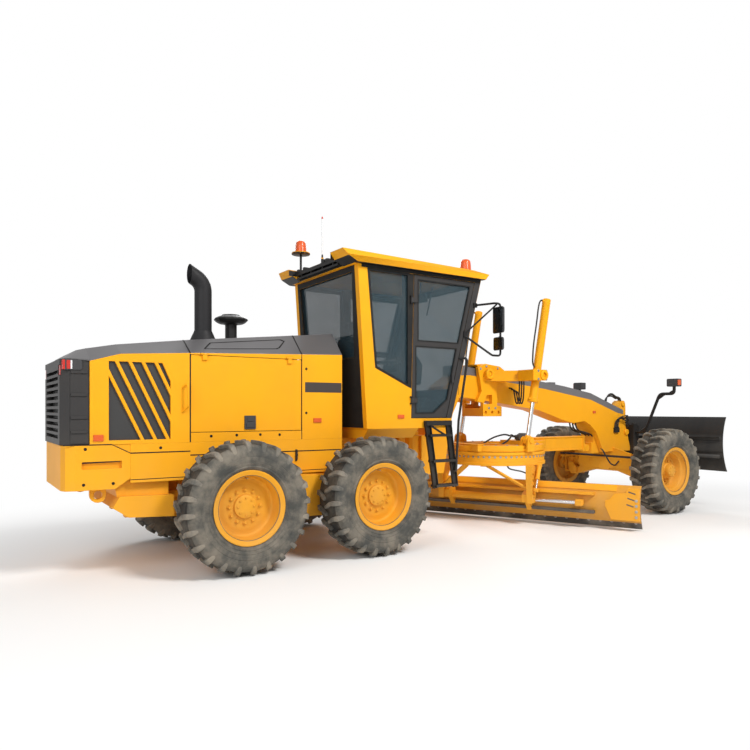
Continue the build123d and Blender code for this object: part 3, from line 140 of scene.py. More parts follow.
def new_material(name):
    """A material with its tree started: (material, its Object coordinates)."""
    material = bpy.data.materials.new(name)
    material.use_nodes = True
    tree = material.node_tree
    return material, Shade(tree).node("ShaderNodeTexCoord", output="Object")


def shade(material, **values):
    """Sets the values or links of the material's shader; an underscore stands for a space."""
    shader = material.node_tree.nodes["Principled BSDF"]
    for name, value in values.items():
        socket = shader.inputs[name.replace("_", " ")]
        if isinstance(value, Shade):
            material.node_tree.links.new(value.socket, socket)
        elif hasattr(value, "__len__") and len(value) == 3 and socket.type == "RGBA":
            socket.default_value = (*value, 1.0)
        else:
            socket.default_value = value
    return material


def rounded(place, height, strength, edge):
    """The normal of edges rounded to a radius, with a bump on top."""
    normal = place.node("ShaderNodeBevel", {"samples": 4}, {"Radius": edge})
    return place.node("ShaderNodeBump", inputs={"Strength": strength, "Distance": 0.002, "Height": height,
        "Normal": normal})


def painted(name, colour, roughness=0.42, dust=0.22, edge=0.006, coat=0.0, level=0.2):
    """Sprayed paint with orange peel, road dust that thickens towards the ground, and faint handling marks."""
    material, place = new_material(name)
    broad = place.noise(1.7, 4)
    streak = place.node("ShaderNodeMapping", inputs={"Vector": place, "Scale": (9.0, 9.0, 0.8)}).noise(1.0, 4)
    peel = place.noise(420, 2)
    low = 1.0 - place.part("Z").smooth(0.15, 1.7)
    grime = ((low * 0.8 + 0.12) * (broad * 1.1 + streak * 0.5 - 0.32)).clamp() * dust
    tint = (broad.smooth(0.3, 0.75) * 0.5).mix(colour, tuple(c * 0.86 for c in colour))
    return shade(material, Base_Color=grime.mix(tint, DUST), Roughness=grime * 0.8 + peel * 0.05 + roughness,
        Coat_Weight=coat, Coat_Roughness=0.12, Specular_IOR_Level=level,
        Normal=rounded(place, peel, 0.05, edge))


def bare_metal(name, colour, roughness, scratch=60.0, dust=0.2):
    """Worked steel with fine scratches along one way and dust in the low places."""
    material, place = new_material(name)
    lines = place.node("ShaderNodeMapping",
        inputs={"Vector": place, "Scale": (scratch, scratch * 0.05, scratch)})
    scored = lines.noise(3.0, 3)
    dirt = place.noise(3.0, 5).smooth(0.45, 0.7) * dust
    return shade(material, Base_Color=dirt.mix(colour, DUST), Metallic=1.0 - dirt, Roughness=scored * 0.15
        + dirt * 0.4 + roughness, Normal=rounded(place, scored, 0.1, 0.003))


def rubber(name, colour, dust, roughness=0.82):
    """Rubber with a fine grain, grey with road dust."""
    material, place = new_material(name)
    grain = place.noise(260, 3)
    patches = place.noise(5.0, 5, 0.65).smooth(0.32, 0.72) * dust
    return shade(material, Base_Color=patches.mix(colour, DUST), Roughness=grain * 0.1 + roughness,
        Specular_IOR_Level=0.3, Normal=rounded(place, grain, 0.25, 0.004))


def plastic(name, colour, roughness=0.55, grain=600.0):
    """Moulded plastic with a leathery grain."""
    material, place = new_material(name)
    pebble = place.noise(grain, 2)
    wear = place.noise(4.0, 4)
    return shade(material, Base_Color=(wear * 0.35).mix(colour,
        tuple(c * 1.5 + 0.01 for c in colour)), Roughness=wear * 0.15 + roughness,
        Normal=rounded(place, pebble, 0.12, 0.004))


def perforated(name, colour, pitch):
    """Black steel mesh: rows of round holes, painted near-black as the shade seen through them."""
    material, place = new_material(name)
    cells = place.node("ShaderNodeMapping",
        inputs={"Vector": place, "Scale": (1 / pitch, 1 / pitch, 1 / pitch)})
    ring = cells.node("ShaderNodeTexVoronoi", {"feature": "F1", "voronoi_dimensions": "3D"},
        {"Vector": cells, "Scale": 1.0, "Randomness": 0.0})
    hole = 1.0 - ring.smooth(0.3, 0.38)
    return shade(material, Base_Color=hole.mix(colour, (0.002, 0.002, 0.002)), Roughness=hole * 0.4 + 0.5,
        Normal=rounded(place, 1.0 - hole, 0.4, 0.003))


def glass(name, tint, alpha):
    """Tinted safety glass, see-through by alpha, with faint dust."""
    material, place = new_material(name)
    film = place.noise(2.5, 4).smooth(0.4, 0.8) * 0.08
    return shade(material, Base_Color=film.mix(tint, DUST), Roughness=film + 0.03, Alpha=film + alpha,
        IOR=1.5, Coat_Weight=0.6, Coat_Roughness=0.02)


def lens(name, colour):
    """Moulded lamp glass with fine prisms."""
    material, place = new_material(name)
    prisms = place.node("ShaderNodeTexWave", {"bands_direction": "Z"}, {"Vector": place, "Scale": 45.0})
    return shade(material, Base_Color=(prisms * 0.4).mix(colour,
        tuple(c * 0.55 for c in colour)), Roughness=prisms * 0.08 + 0.2, Coat_Weight=0.25,
        Normal=rounded(place, prisms, 0.25, 0.003))


yellow = painted("grader_yellow", YELLOW)
# The rims take the body yellow darkened to 0.85 as painted shade, with more road dust.
rim_yellow_shaded = painted("wheel_yellow_shaded", tuple(c * 0.85 for c in YELLOW), 0.4, 0.3, 0.004)
# The moldboard takes the body yellow darkened to 0.8 as painted shade, with heavier road dust.
blade_yellow_shaded = painted("blade_yellow_shaded", tuple(c * 0.8 for c in YELLOW), 0.5, 0.45, 0.004)
hood_grey = shade(painted("hood_grey", HOOD_GREY, 0.34, 0.12, 0.008, 0.15, 0.5), Metallic=0.6)
dark_grey = painted("panel_grey", DARK_GREY, 0.42, 0.3, 0.005)
stripe_grey = painted("stripe_grey", (0.055, 0.045, 0.042), 0.4, 0.25, 0.002)
black_paint = painted("black_paint", BLACK, 0.42, 0.25, 0.004)
stack_black = painted("stack_black", (0.016, 0.016, 0.018), 0.5, 0.1, 0.004, 0.0)
cast_grey = painted("cast_grey", (0.05, 0.05, 0.052), 0.6, 0.5, 0.01, 0.0)
worn_steel = bare_metal("worn_steel", (0.16, 0.15, 0.14), 0.42, 90.0, 0.55)
chrome = bare_metal("chrome_rod", (0.72, 0.72, 0.73), 0.12, 30.0, 0.05)
zinc = bare_metal("zinc_bolt", STEEL, 0.35, 80.0, 0.35)
tread = rubber("tread_rubber", (0.06, 0.061, 0.056), 0.38)
# Darker rubber for the tread band between the lugs: painted shade, with a little road dust.
tread_base_shade = rubber("tread_base_rubber", (0.022, 0.022, 0.021), 0.2)
lug_rubber = rubber("lug_rubber", (0.1, 0.098, 0.088), 0.55, 0.9)
hose_black = rubber("hose_rubber", (0.014, 0.014, 0.014), 0.08, 0.55)
seal_black = rubber("seal_rubber", (0.008, 0.008, 0.008), 0.02, 0.7)
trim_plastic = plastic("cab_plastic", (0.03, 0.03, 0.033))
seat_cloth = plastic("seat_cloth", (0.045, 0.047, 0.055), 0.85, 900.0)
louvre_mesh = perforated("louvre_mesh", (0.03, 0.03, 0.03), 0.012)
cab_tint = glass("cab_tint", (0.03, 0.062, 0.08), 0.46)
mirror_face = bare_metal("mirror_face", (0.09, 0.1, 0.11), 0.12, 10.0, 0.03)
clear_lens = plastic("clear_lens", (0.72, 0.74, 0.76), 0.15, 90.0)
lens_orange = lens("lens_orange", (0.72, 0.1, 0.004))
lens_red = lens("lens_red", (0.55, 0.02, 0.01))


# Mesh helpers

# Radius at which a solid of revolution ends short of its axis
AXIS_GAP = 0.0005


class Work:
    """A mesh under construction, its x measured from the rearmost axle."""

    def __init__(self):
        self.mesh = bmesh.new()

    def skin(self, rings, closed=False):
        """Faces from each ring of places to the next; the ends are filled, or joined to each other if closed."""
        rings = [[self.mesh.verts.new(place) for place in ring] for ring in rings]
        if not closed:
            self.mesh.faces.new(rings[0])
            self.mesh.faces.new(rings[-1][::-1])
        for here, there in zip(rings, rings[1:] + rings[:1] if closed else rings[1:]):
            for n in range(len(here)):
                m = (n + 1) % len(here)
                self.mesh.faces.new((here[m], here[n], there[n], there[m]))
        return self

    def prism(self, outline, axis, low, high):
        """A plate from an outline in the two other axes, in x, y, z order."""
        at = "xyz".index(axis)
        return self.skin([[(*pair[:at], d, *pair[at:]) for pair in outline] for d in (low, high)])

    def flank(self, outline, side, near, far):
        """A plate that faces sideways, on one side of the machine, from an (x, z) outline."""
        return self.prism(outline, "y", *across(side, near, far))

    def box(self, x, y, z):
        return self.prism([(x[0], y[0]), (x[1], y[0]), (x[1], y[1]), (x[0], y[1])], "z", *z)

    def lathe(self, profile, centre, direction=(0, 0, 1), steps=48):
        """A closed outline of (radius, distance) spun about a line."""
        turn = Vector((0, 0, 1)).rotation_difference(Vector(direction).normalized()).to_matrix().to_4x4()
        place = Matrix.Translation(centre) @ turn
        return self.skin([[place @ Vector((r * math.cos(a), r * math.sin(a), d)) for r, d in profile]
            for a in angles(steps)], closed=True)

    def turned(self, profile, centre, direction=(0, 0, 1), steps=48):
        """An open outline of (radius, distance) spun about a line and filled in to it."""
        ends = ((AXIS_GAP, profile[0][1]), (AXIS_GAP, profile[-1][1]))
        return self.lathe([ends[0], *profile, ends[1]], centre, direction, steps)

    def bar(self, start, end, radius, steps=24, chamfer=0.0):
        """A round bar between two points."""
        run = Vector(end) - Vector(start)
        c = min(chamfer, radius * 0.5, run.length * 0.45)
        profile = [(radius - c, 0), (radius, c), (radius, run.length - c), (radius - c, run.length)]
        return self.turned(profile, start, run, steps)

    def beam(self, start, end, width, depth, up=(0, 0, 1)):
        """A rectangular bar between two points, its depth along up."""
        start, end = Vector(start), Vector(end)
        wide = (end - start).cross(Vector(up)).normalized() * (width / 2)
        tall = wide.cross(end - start).normalized() * (depth / 2)
        corners = (wide + tall, tall - wide, -wide - tall, wide - tall)
        return self.skin([[place + corner for corner in corners] for place in (start, end)])

    def moved(self, matrix):
        self.mesh.transform(matrix)
        return self

    def data(self, name):
        """The mesh by itself, faces out."""
        bmesh.ops.recalc_face_normals(self.mesh, faces=self.mesh.faces)
        data = bpy.data.meshes.new(name)
        self.mesh.to_mesh(data)
        self.mesh.free()
        return data

    def object(self, name, material, body="rear_body", replaces=(), angle=35):
        """The finished piece: doubles merged, faces out, smooth up to an angle."""
        self.moved(Matrix.Translation(ORIGIN))
        bmesh.ops.remove_doubles(self.mesh, verts=self.mesh.verts, dist=0.00005)
        return finished(name, self.data(name), material, body, replaces, angle)


def finished(name, data, material, body, replaces=(), angle=35):
    """A piece of one material from a mesh, riding on a body."""
    data.materials.clear()
    data.materials.append(material)
    data.polygons.foreach_set("use_smooth", [True] * len(data.polygons))
    data.set_sharp_from_angle(angle=math.radians(angle))
    piece = bpy.data.objects.new(name, data)
    bpy.context.collection.objects.link(piece)
    if replaces:
        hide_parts(*([replaces] if isinstance(replaces, str) else replaces))
    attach(piece, body)
    return piece


def hose(name, points, radius, body, replaces=()):
    """A hydraulic hose on a smooth line from the first point to the last."""
    points = [(point[0] + AXLE_REAR, *point[1:]) for point in points]
    curve = bpy.data.curves.new(name, "CURVE")
    curve.dimensions = "3D"
    spline = curve.splines.new("NURBS")
    spline.points.add(len(points) - 1)
    for point, place in zip(spline.points, points):
        point.co = (*place, 1.0)
    spline.order_u = 3
    spline.use_endpoint_u = True
    curve.resolution_u = 10
    bare = bpy.data.objects.new(name, curve)
    line = [v.co.copy() for v in bpy.data.meshes.new_from_object(bare).vertices]
    curve.bevel_depth = radius
    curve.bevel_resolution = 3
    curve.use_fill_caps = True
    curve.materials.append(hose_black)
    bpy.context.collection.objects.link(bare)
    if replaces:
        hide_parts(*replaces)
    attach(bare, body)


def frame_tube(name, points, bend, radius, material, body):
    """A bent steel tube with straight runs and one bend radius."""
    line = []
    for n, point in enumerate(points):
        here = Vector(point)
        if n in (0, len(points) - 1):
            line.append(here)
            continue
        back = (Vector(points[n - 1]) - here).normalized()
        on = (Vector(points[n + 1]) - here).normalized()
        half = back.angle(on) / 2
        reach = min(bend / math.tan(half), (Vector(points[n - 1]) - here).length * 0.5,
            (Vector(points[n + 1]) - here).length * 0.5)
        for k in range(7):
            t = k / 6
            line.append((here + back * reach) * (1 - t) ** 2 + here * 2 * t * (1 - t)
                + (here + on * reach) * t ** 2)
    rings = []
    up = Vector((0.3, 0.5, 0.8))
    for n, here in enumerate(line):
        along = (line[min(n + 1, len(line) - 1)] - line[max(n - 1, 0)]).normalized()
        wide = along.cross(up).normalized()
        up = wide.cross(along).normalized()
        rings.append([here + wide * (radius * math.cos(a)) + up * (radius * math.sin(a)) for a in angles(14)])
    return Work().skin(rings).object(name, material, body, angle=50)


def cad_copy(node, name, material, angle=32):
    """The CAD solid with its faces joined and shaded smooth, in place of the node."""
    source = frame["nodes"][node]
    mesh = bmesh.new()
    mesh.from_mesh(source.data)
    bmesh.ops.remove_doubles(mesh, verts=mesh.verts, dist=0.00002)
    data = bpy.data.meshes.new(name)
    mesh.to_mesh(data)
    mesh.free()
    return finished(name, data, material, body_with(node), node, angle)


BODIES = frame["record"]["behaviour"]["bodies"]


def body_with(node):
    """The body that a CAD node belongs to."""
    return next(body for body, nodes in BODIES.items() if node in nodes)


# Repeats by Geometry Nodes

def tree_with(name, inputs):
    """A node tree with named inputs: {name: (socket type, default)}."""
    tree = bpy.data.node_groups.new(name, "GeometryNodeTree")
    tree.interface.new_socket("Geometry", in_out="OUTPUT", socket_type="NodeSocketGeometry")
    for label, (kind, default) in inputs.items():
        socket = tree.interface.new_socket(label, in_out="INPUT", socket_type=kind)
        if default is not None:
            socket.default_value = default
    return tree, tree.nodes.new("NodeGroupInput"), tree.nodes.new("NodeGroupOutput")


def linked(tree, kind, settings=None, inputs=None):
    """A node with its settings and inputs given; an input is a value or another node's socket."""
    node = tree.nodes.new(kind)
    for name, value in (settings or {}).items():
        setattr(node, name, value)
    for key, value in (inputs or {}).items():
        if isinstance(value, bpy.types.NodeSocket):
            tree.links.new(value, node.inputs[key])
        else:
            node.inputs[key].default_value = value
    return node


def scatter_tree():
    """Copies of one shape on the points of a mesh, turned to lie along each point's stored frame."""
    tree, source, result = tree_with("copies_on_points", {"Points": ("NodeSocketGeometry", None),
        "Shape": ("NodeSocketObject", None), "Scale": ("NodeSocketFloat", 1.0),
        "Finish": ("NodeSocketMaterial", None)})
    shape = linked(tree, "GeometryNodeObjectInfo", inputs={"Object": source.outputs["Shape"]})
    turn = linked(tree, "GeometryNodeInputNamedAttribute", {"data_type": "FLOAT_VECTOR"}, {"Name": "turn"})
    placed = linked(tree, "GeometryNodeInstanceOnPoints", inputs={"Points": source.outputs["Points"],
        "Instance": shape.outputs["Geometry"], "Rotation": turn.outputs["Attribute"]})
    tree.links.new(source.outputs["Scale"], placed.inputs["Scale"])
    real = linked(tree, "GeometryNodeRealizeInstances", inputs={"Geometry": placed.outputs[0]})
    painted_copies = linked(tree, "GeometryNodeSetMaterial", inputs={"Geometry": real.outputs[0],
        "Material": source.outputs["Finish"]})
    tree.links.new(painted_copies.outputs[0], result.inputs[0])
    return tree


COPIES = scatter_tree()


def copies(name, shape_data, places, material, body, scale=1.0, angle=35):
    """One piece made of copies of a mesh at (position, turn) places."""
    shape = bpy.data.objects.new(name + "_one", shape_data)
    bpy.context.collection.objects.link(shape)
    points = bpy.data.meshes.new(name + "_points")
    points.from_pydata([Vector(p) + ORIGIN for p, _ in places], [], [])
    turns = points.attributes.new("turn", "FLOAT_VECTOR", "POINT")
    turns.data.foreach_set("vector", [v for _, t in places for v in t])
    holder = bpy.data.objects.new(name + "_holder", points)
    bpy.context.collection.objects.link(holder)
    modifier = holder.modifiers.new("copies", "NODES")
    modifier.node_group = COPIES
    names = {s.name: s.identifier for s in COPIES.interface.items_tree if s.in_out == "INPUT"}
    modifier[names["Shape"]] = shape
    modifier[names["Scale"]] = scale
    modifier[names["Finish"]] = material
    graph = bpy.context.evaluated_depsgraph_get()
    data = bpy.data.meshes.new_from_object(holder.evaluated_get(graph))
    data.name = name
    bpy.data.objects.remove(holder)
    bpy.data.objects.remove(shape)
    return finished(name, data, material, body, (), angle)


def hex_bolt(radius=0.014, height=0.01):
    """A hexagon head on a washer, standing on z = 0."""
    work = Work()
    work.lathe([(0.0004, 0), (radius * 1.5, 0), (radius * 1.5, height * 0.22), (0.0004, height * 0.22)],
        (0, 0, 0), (0, 0, 1), 16)
    work.lathe([(0.0004, height * 0.2), (radius, height * 0.2), (radius, height * 0.9),
        (radius * 0.8, height), (0.0004, height)], (0, 0, 0), (0, 0, 1), 6)
    bmesh.ops.remove_doubles(work.mesh, verts=work.mesh.verts, dist=0.0003)
    return work.data("bolt")


def facing(direction):
    """The Euler turn that takes +Z to a direction."""
    return tuple(Vector((0, 0, 1)).rotation_difference(Vector(direction).normalized()).to_euler())


# Camera, lights and floor

camera_data = bpy.data.cameras.new("camera")
camera_data.lens = 31.5
camera_data.sensor_width = 36.0
camera_data.shift_y = 0.0463
camera_data.clip_end = 200.0
camera = bpy.data.objects.new("camera", camera_data)
camera.location = (-5.86, -7.3, 1.636)
camera.rotation_euler = (math.radians(90), 0, math.radians(-33.09))
bpy.context.collection.objects.link(camera)
bpy.context.scene.camera = camera


def area_lamp(name, place, target, size, watts, colour=(1, 1, 1)):
    data = bpy.data.lights.new(name, "AREA")
    data.energy = watts
    data.size = size
    data.color = colour
    lamp = bpy.data.objects.new(name, data)
    lamp.location = place
    lamp.rotation_euler = (Vector(target) - Vector(place)).to_track_quat("-Z", "Y").to_euler()
    bpy.context.collection.objects.link(lamp)


area_lamp("key", (1.0, -11.0, 11.5), (0.3, 0, 1.2), 3.6, 1750, (1.0, 0.98, 0.95))
area_lamp("fill", (-11.0, -7.0, 6.0), (-1, 0, 1.2), 7.0, 550)
area_lamp("back", (3.0, 10.0, 9.0), (0, 0, 1.0), 6.0, 700)

world = bpy.data.worlds.new("studio")
world.use_nodes = True
bpy.context.scene.world = world
sky = Shade(world.node_tree)
rays = {label: sky.node("ShaderNodeLightPath", output=label) for label in ("Is Camera Ray", "Is Glossy Ray",
    "Is Transmission Ray")}
seen = (rays["Is Camera Ray"] + rays["Is Glossy Ray"] * 0.55 + rays["Is Transmission Ray"]).clamp()
background = world.node_tree.nodes["Background"]
background.inputs["Color"].default_value = (1, 1, 1, 1)
world.node_tree.links.new((seen * 0.66 + 0.34).socket, background.inputs["Strength"])

bpy.context.scene.view_settings.view_transform = "Standard"

floor_mesh = bpy.data.meshes.new("floor")
floor_mesh.from_pydata([(-60, -60, -0.001), (60, -60, -0.001), (60, 60, -0.001), (-60, 60, -0.001)], [],
    [(0, 1, 2, 3)])
floor = bpy.data.objects.new("floor", floor_mesh)
bpy.context.collection.objects.link(floor)
floor_finish, spot = new_material("floor_white")
shade(floor_finish, Base_Color=(0.9, 0.9, 0.9), Roughness=spot.noise(3.0) * 0.05 + 0.85,
    Specular_IOR_Level=0.1)
# Away from the machine the floor turns to the white of the background for the camera and for reflections.
spread = spot.node("ShaderNodeMapping", inputs={"Vector": spot, "Scale": (0.62, 1.0, 1.0)})
reach = spread.node("ShaderNodeVectorMath", {"operation": "LENGTH"}, {0: spread}, output="Value")
eyes = (spot.node("ShaderNodeLightPath", output="Is Camera Ray") + spot.node("ShaderNodeLightPath",
    output="Is Glossy Ray") + spot.node("ShaderNodeLightPath", output="Is Transmission Ray")).clamp()
white = spot.node("ShaderNodeEmission", inputs={"Color": (1, 1, 1, 1), "Strength": 1.0})
lit = Shade(floor_finish.node_tree, floor_finish.node_tree.nodes["Principled BSDF"].outputs[0])
blend = spot.node("ShaderNodeMixShader", inputs={0: reach.smooth(2.6, 6.2) * eyes, 1: lit, 2: white})
floor_finish.node_tree.links.new(blend.socket,
    floor_finish.node_tree.nodes["Material Output"].inputs["Surface"])
floor_mesh.materials.append(floor_finish)


# Wheels

def tyre_profile():
    """Outline of the carcass, (radius, y), with sidewall steps and a rim guard."""
    half = TYRE_HALF
    outer = [(0.319, 0.15), (0.319, 0.162), (0.35, 0.168), (0.379, 0.17), (0.392, 0.186), (0.404, 0.198),
        (0.412, 0.199), (0.418, 0.196), (0.432, 0.205), (0.448, 0.212), (0.452, 0.209), (0.458, 0.213),
        (0.476, half - 0.005), (0.5, half - 0.001), (0.505, half - 0.004), (0.511, half - 0.001),
        (0.54, half), (0.566, half - 0.004), (0.59, half - 0.012), (0.612, half - 0.03),
        (0.626, half - 0.055), (0.632, half - 0.1), (0.634, 0.06)]
    return outer + [(r, -y) for r, y in reversed(outer)]


def lug_mesh():
    """One directional lug of the tread, on the right half: a bent bar that runs down over the shoulder."""
    crown, base = TYRE_RADIUS - 0.002, 0.626
    # across the tread: y, radius at the top, turn about the axle in metres of tread, width
    stations = [(0.006, crown, 0.0, 0.036), (0.045, crown, 0.016, 0.04), (0.09, crown - 0.001, 0.04, 0.044),
        (0.135, crown - 0.004, 0.052, 0.05), (0.18, crown - 0.013, 0.056, 0.056),
        (0.204, crown - 0.03, 0.057, 0.058), (0.216, crown - 0.066, 0.057, 0.052),
        (TYRE_HALF - 0.003, crown - 0.108, 0.057, 0.036)]
    rings = []
    for y, top, along, width in stations:
        ring = []
        low = min(base, top - 0.012) if y < 0.19 else top - 0.03
        low_y = y if y < 0.19 else y - 0.012
        for r, s, yy in ((low, -1.12, low_y), (top, -0.92, y), (top, 0.92, y), (low, 1.12, low_y)):
            a = (along + s * width / 2) / crown
            ring.append((r * math.sin(a), yy, r * math.cos(a)))
        rings.append(ring)
    work = Work().skin(rings)
    bmesh.ops.recalc_face_normals(work.mesh, faces=work.mesh.faces)
    bmesh.ops.bevel(work.mesh, geom=work.mesh.edges[:], offset=0.003, segments=1, affect="EDGES",
        clamp_overlap=True)
    return work.data("lug")


LUGS = 24


def tyre(name, centre, body, node):
    """Carcass and lugs of one tyre."""
    carcass = Work().lathe(tyre_profile(), centre, (0, 1, 0), 96).object(name, tread, body, node, 28)
    carcass.data.materials.append(tread_base_shade)
    # Faces of the carcass beyond TREAD_EDGE, between the lugs, take the darker rubber as painted shade.
    for face in carcass.data.polygons:
        away = face.center - ORIGIN - centre
        if math.hypot(away.x, away.z) > TREAD_EDGE:
            face.material_index = 1
    one = lug_mesh()
    other = one.copy()
    for vertex in other.vertices:
        vertex.co.y = -vertex.co.y
    other.flip_normals()
    for mesh, phase, label in ((one, 0.0, "a"), (other, 0.5, "b")):
        places = [(centre, (0, 2 * math.pi * (n + phase) / LUGS, 0)) for n in range(LUGS)]
        copies(f"{name}_lugs_{label}", mesh, places, lug_rubber, body, angle=30)


# Rims, (radius, y outwards): flanges and well, then the deep rear dish, or the front one whose hub stands out.
RIM_WELL = [(0.304, -0.18), (0.375, -0.18), (0.375, -0.17), (0.36, -0.164), (0.318, -0.16), (0.318, 0.16),
    (0.352, 0.163), (0.368, 0.168), (0.375, 0.174), (0.374, 0.18), (0.364, 0.182), (0.35, 0.176),
    (0.336, 0.172), (0.326, 0.168), (0.318, 0.15)]
REAR_DISH = [(0.311, 0.12), (0.309, 0.06), (0.3, 0.03), (0.285, 0.016), (0.262, 0.012), (0.245, 0.018),
    (0.205, 0.022), (0.15, 0.022), (0.138, 0.026), (0.12, 0.026), (0.116, 0.05), (0.1, 0.058), (0.03, 0.06),
    (AXIS_GAP, 0.06), (AXIS_GAP, -0.01), (0.3, -0.01)]
FRONT_DISH = [(0.308, 0.11), (0.292, 0.09), (0.28, 0.086), (0.272, 0.07), (0.262, 0.02), (0.246, -0.01),
    (0.224, -0.02), (0.2, -0.016), (0.14, -0.014), (0.124, -0.008), (0.12, 0.03), (0.114, 0.042),
    (0.1, 0.052), (0.098, 0.104), (0.088, 0.12), (0.06, 0.125), (AXIS_GAP, 0.125), (AXIS_GAP, 0.02),
    (0.0551, 0.02), (0.0551, -0.11), (0.12, -0.11), (0.12, -0.04), (0.3, -0.04)]


def wheel(row, hand, side):
    """Tyre, rim, bolts and valve of one wheel."""
    front = row == "front"
    out = Vector((0, side, 0))
    centre = Vector((AXLES[row], side * WHEEL_Y, TYRE_RADIUS))
    body = f"{row}_wheel_{hand}"
    tyre(f"{row}_tread_{hand}", centre, body, f"{row}_tyre_{hand}")
    rim = Work().lathe(RIM_WELL + (FRONT_DISH if front else REAR_DISH), centre, out, 80)
    if not front:
        inner = TANDEM_FACE - WHEEL_Y
        rim.turned([(0.06, inner - 0.09), (0.06, inner), (0.12, inner), (0.12, -0.006)], centre, out, 40)
    rim.object(f"{row}_rim_disc_{hand}", rim_yellow_shaded, body, f"{row}_rim_{hand}", 30)
    for label, count, radius, face, bolt in (("wheel", 12, 0.165, -0.014 if front else 0.022, (0.015, 0.024)),
            ("hub", 8, 0.068 if front else 0.085, 0.125 if front else 0.06, (0.008, 0.009))):
        copies(f"{row}_{label}_bolts_{hand}", hex_bolt(*bolt),
            [(centre + out * face + Vector((radius * math.cos(a), 0, radius * math.sin(a))), facing(out))
            for a in angles(count)], rim_yellow_shaded, body)
    stem = centre + out * 0.03 + Vector((0.0, 0, 0.288))
    Work().bar(stem, stem + out * 0.075, 0.006, 10, 0.002).object(f"{row}_valve_{hand}", zinc, body)


for row in AXLES:
    for hand, side in HANDS:
        wheel(row, hand, side)


# Finishes of the CAD nodes that stay

FINISHES = (
    (hood_grey, "engine_hood frame_cover"),
    (dark_grey, "rear_grille cab_door_right cab_door_left"),
    (cast_grey, "engine_block"),
    (cab_tint, "cab_glass cab_door_glass_right cab_door_glass_left"),
    (yellow, "rear_frame rear_bumper hood_sides tandem_cases cab_body cab_roof front_frame lift_saddle front_axle "
             "blade_carrier lean_bar hood_door_right hood_door_left lean_yoke_right lean_yoke_left spindle_right "
             "spindle_left"),
    (black_paint, "dozer_mount dozer_arms dozer_blade tie_rod_end tie_rod dozer_cylinder"),
    (chrome, "dozer_rod"))
ROUND = {"dozer_cylinder", "dozer_rod", "dozer_blade", "front_axle", "cab_roof"}
for finish, nodes in FINISHES:
    for node in nodes.split():
        if node in ROUND:
            cad_copy(node, node + "_dressed", finish)
            continue
        part = frame["nodes"][node]
        if not part.material_slots:
            part.data.materials.append(finish)
        for slot in part.material_slots:
            slot.material = finish


# Rear body

SIDE_Y = 0.62
HOOD = ((-1.36, 2.1, 2.235, 0.4), (-1.08, 2.18, 2.29, 0.385), (-0.33, 2.222, 2.38, 0.38),
    (1.4, 2.28, 2.55, 0.38))


def hood_at(u):
    """Height of the hood's side edge, height of its top and half width of its top, at u."""
    for low, high in zip(HOOD, HOOD[1:]):
        if u <= high[0]:
            t = (u - low[0]) / (high[0] - low[0])
            return tuple(a + (b - a) * t for a, b in zip(low[1:], high[1:]))
    return HOOD[-1][1:]


def chamfer_point(u, t, side, lift):
    """A point on the hood's sloping flank: t runs from its lower edge to its upper edge."""
    edge, top, half = hood_at(u)
    run = Vector((0, side * (half - SIDE_Y), top - edge))
    out = Vector((0, side * (top - edge), SIDE_Y - half)).normalized()
    return Vector((u, side * SIDE_Y, edge)) + run * t + out * lift


def outline_loop(corners, width):
    """A flat raised line through corner points that lie nearly in a plane."""
    middle = sum(corners, Vector()) / len(corners)
    lift = (corners[1] - corners[0]).cross(corners[2] - corners[1]).normalized() * 0.003
    inner = [c + (middle - c).normalized() * width for c in corners]
    return Work().skin([[place + move for place in ring] for ring, move in ((corners, -lift), (corners, lift),
        (inner, lift), (inner, -lift))], closed=True)


for hand, side in HANDS:
    Work().box((-1.225, -0.565), across(side, 0.5943, 0.5949), (1.322, 2.118)).object(
        f"louvre_screen_{hand}", louvre_mesh)
    seams = Work()
    seams.box((-0.407, -0.393), across(side, 0.6195, 0.6207), (1.302, 2.212))
    seams.box((0.868, 0.878), across(side, 0.6195, 0.6206), (1.302, 2.255))
    seams.object(f"panel_seams_{hand}", seal_black)
    Work().box((0.915, 1.392), across(side, 0.6199, 0.6212), (1.835, 1.95)).object(
        f"flank_stripe_{hand}", stripe_grey)
    latch = Work().box((0.187, 0.313), across(side, 0.6198, 0.6335), (1.427, 1.573))
    latch.box((0.205, 0.295), across(side, 0.63, 0.64), (1.445, 1.495))
    latch.box((0.215, 0.285), across(side, 0.63, 0.638), (1.51, 1.56))
    latch.object(f"door_latch_{hand}", trim_plastic, f"hood_door_{hand}")
    frame_tube(f"hood_grab_{hand}", [(-0.48, side * 0.617, 1.86), (-0.445, side * 0.69, 1.905),
        (-0.445, side * 0.69, 1.665), (-0.48, side * 0.617, 1.615)], 0.03, 0.011, yellow, "rear_body")
    spots = [(-0.18, 1.36), (0.1, 1.365), (0.37, 1.365), (0.6, 1.36), (0.93, 2.1), (0.93, 1.6)]
    copies(f"flank_screws_{hand}", hex_bolt(0.01, 0.008),
        [((u, side * SIDE_Y, z), facing((0, side, 0))) for u, z in spots], seal_black, "rear_body")
    corners = [chamfer_point(u, t, side, 0.001) for u, t in ((-0.235, 0.3), (-0.14, 0.72), (0.7, 0.8),
        (0.74, 0.7), (0.64, 0.34), (0.6, 0.28))]
    outline_loop(corners, 0.017).object(f"hood_panel_line_{hand}", seal_black)

for u in (-0.4, 0.873):
    edge, top, half = hood_at(u)
    inner = [(-SIDE_Y + 0.002, edge), (-half, top - 0.002), (half, top - 0.002), (SIDE_Y - 0.002, edge)]
    outer = [(SIDE_Y + 0.0012, edge), (half, top + 0.0015), (-half, top + 0.0015), (-SIDE_Y - 0.0012, edge)]
    Work().prism(inner + outer, "x", u - 0.008, u + 0.008).object(
        "hood_seam_" + ("rear" if u < 0 else "front"), seal_black, "rear_body")


# Stack and precleaner

STACK = Vector((-0.11, -0.15, 0))


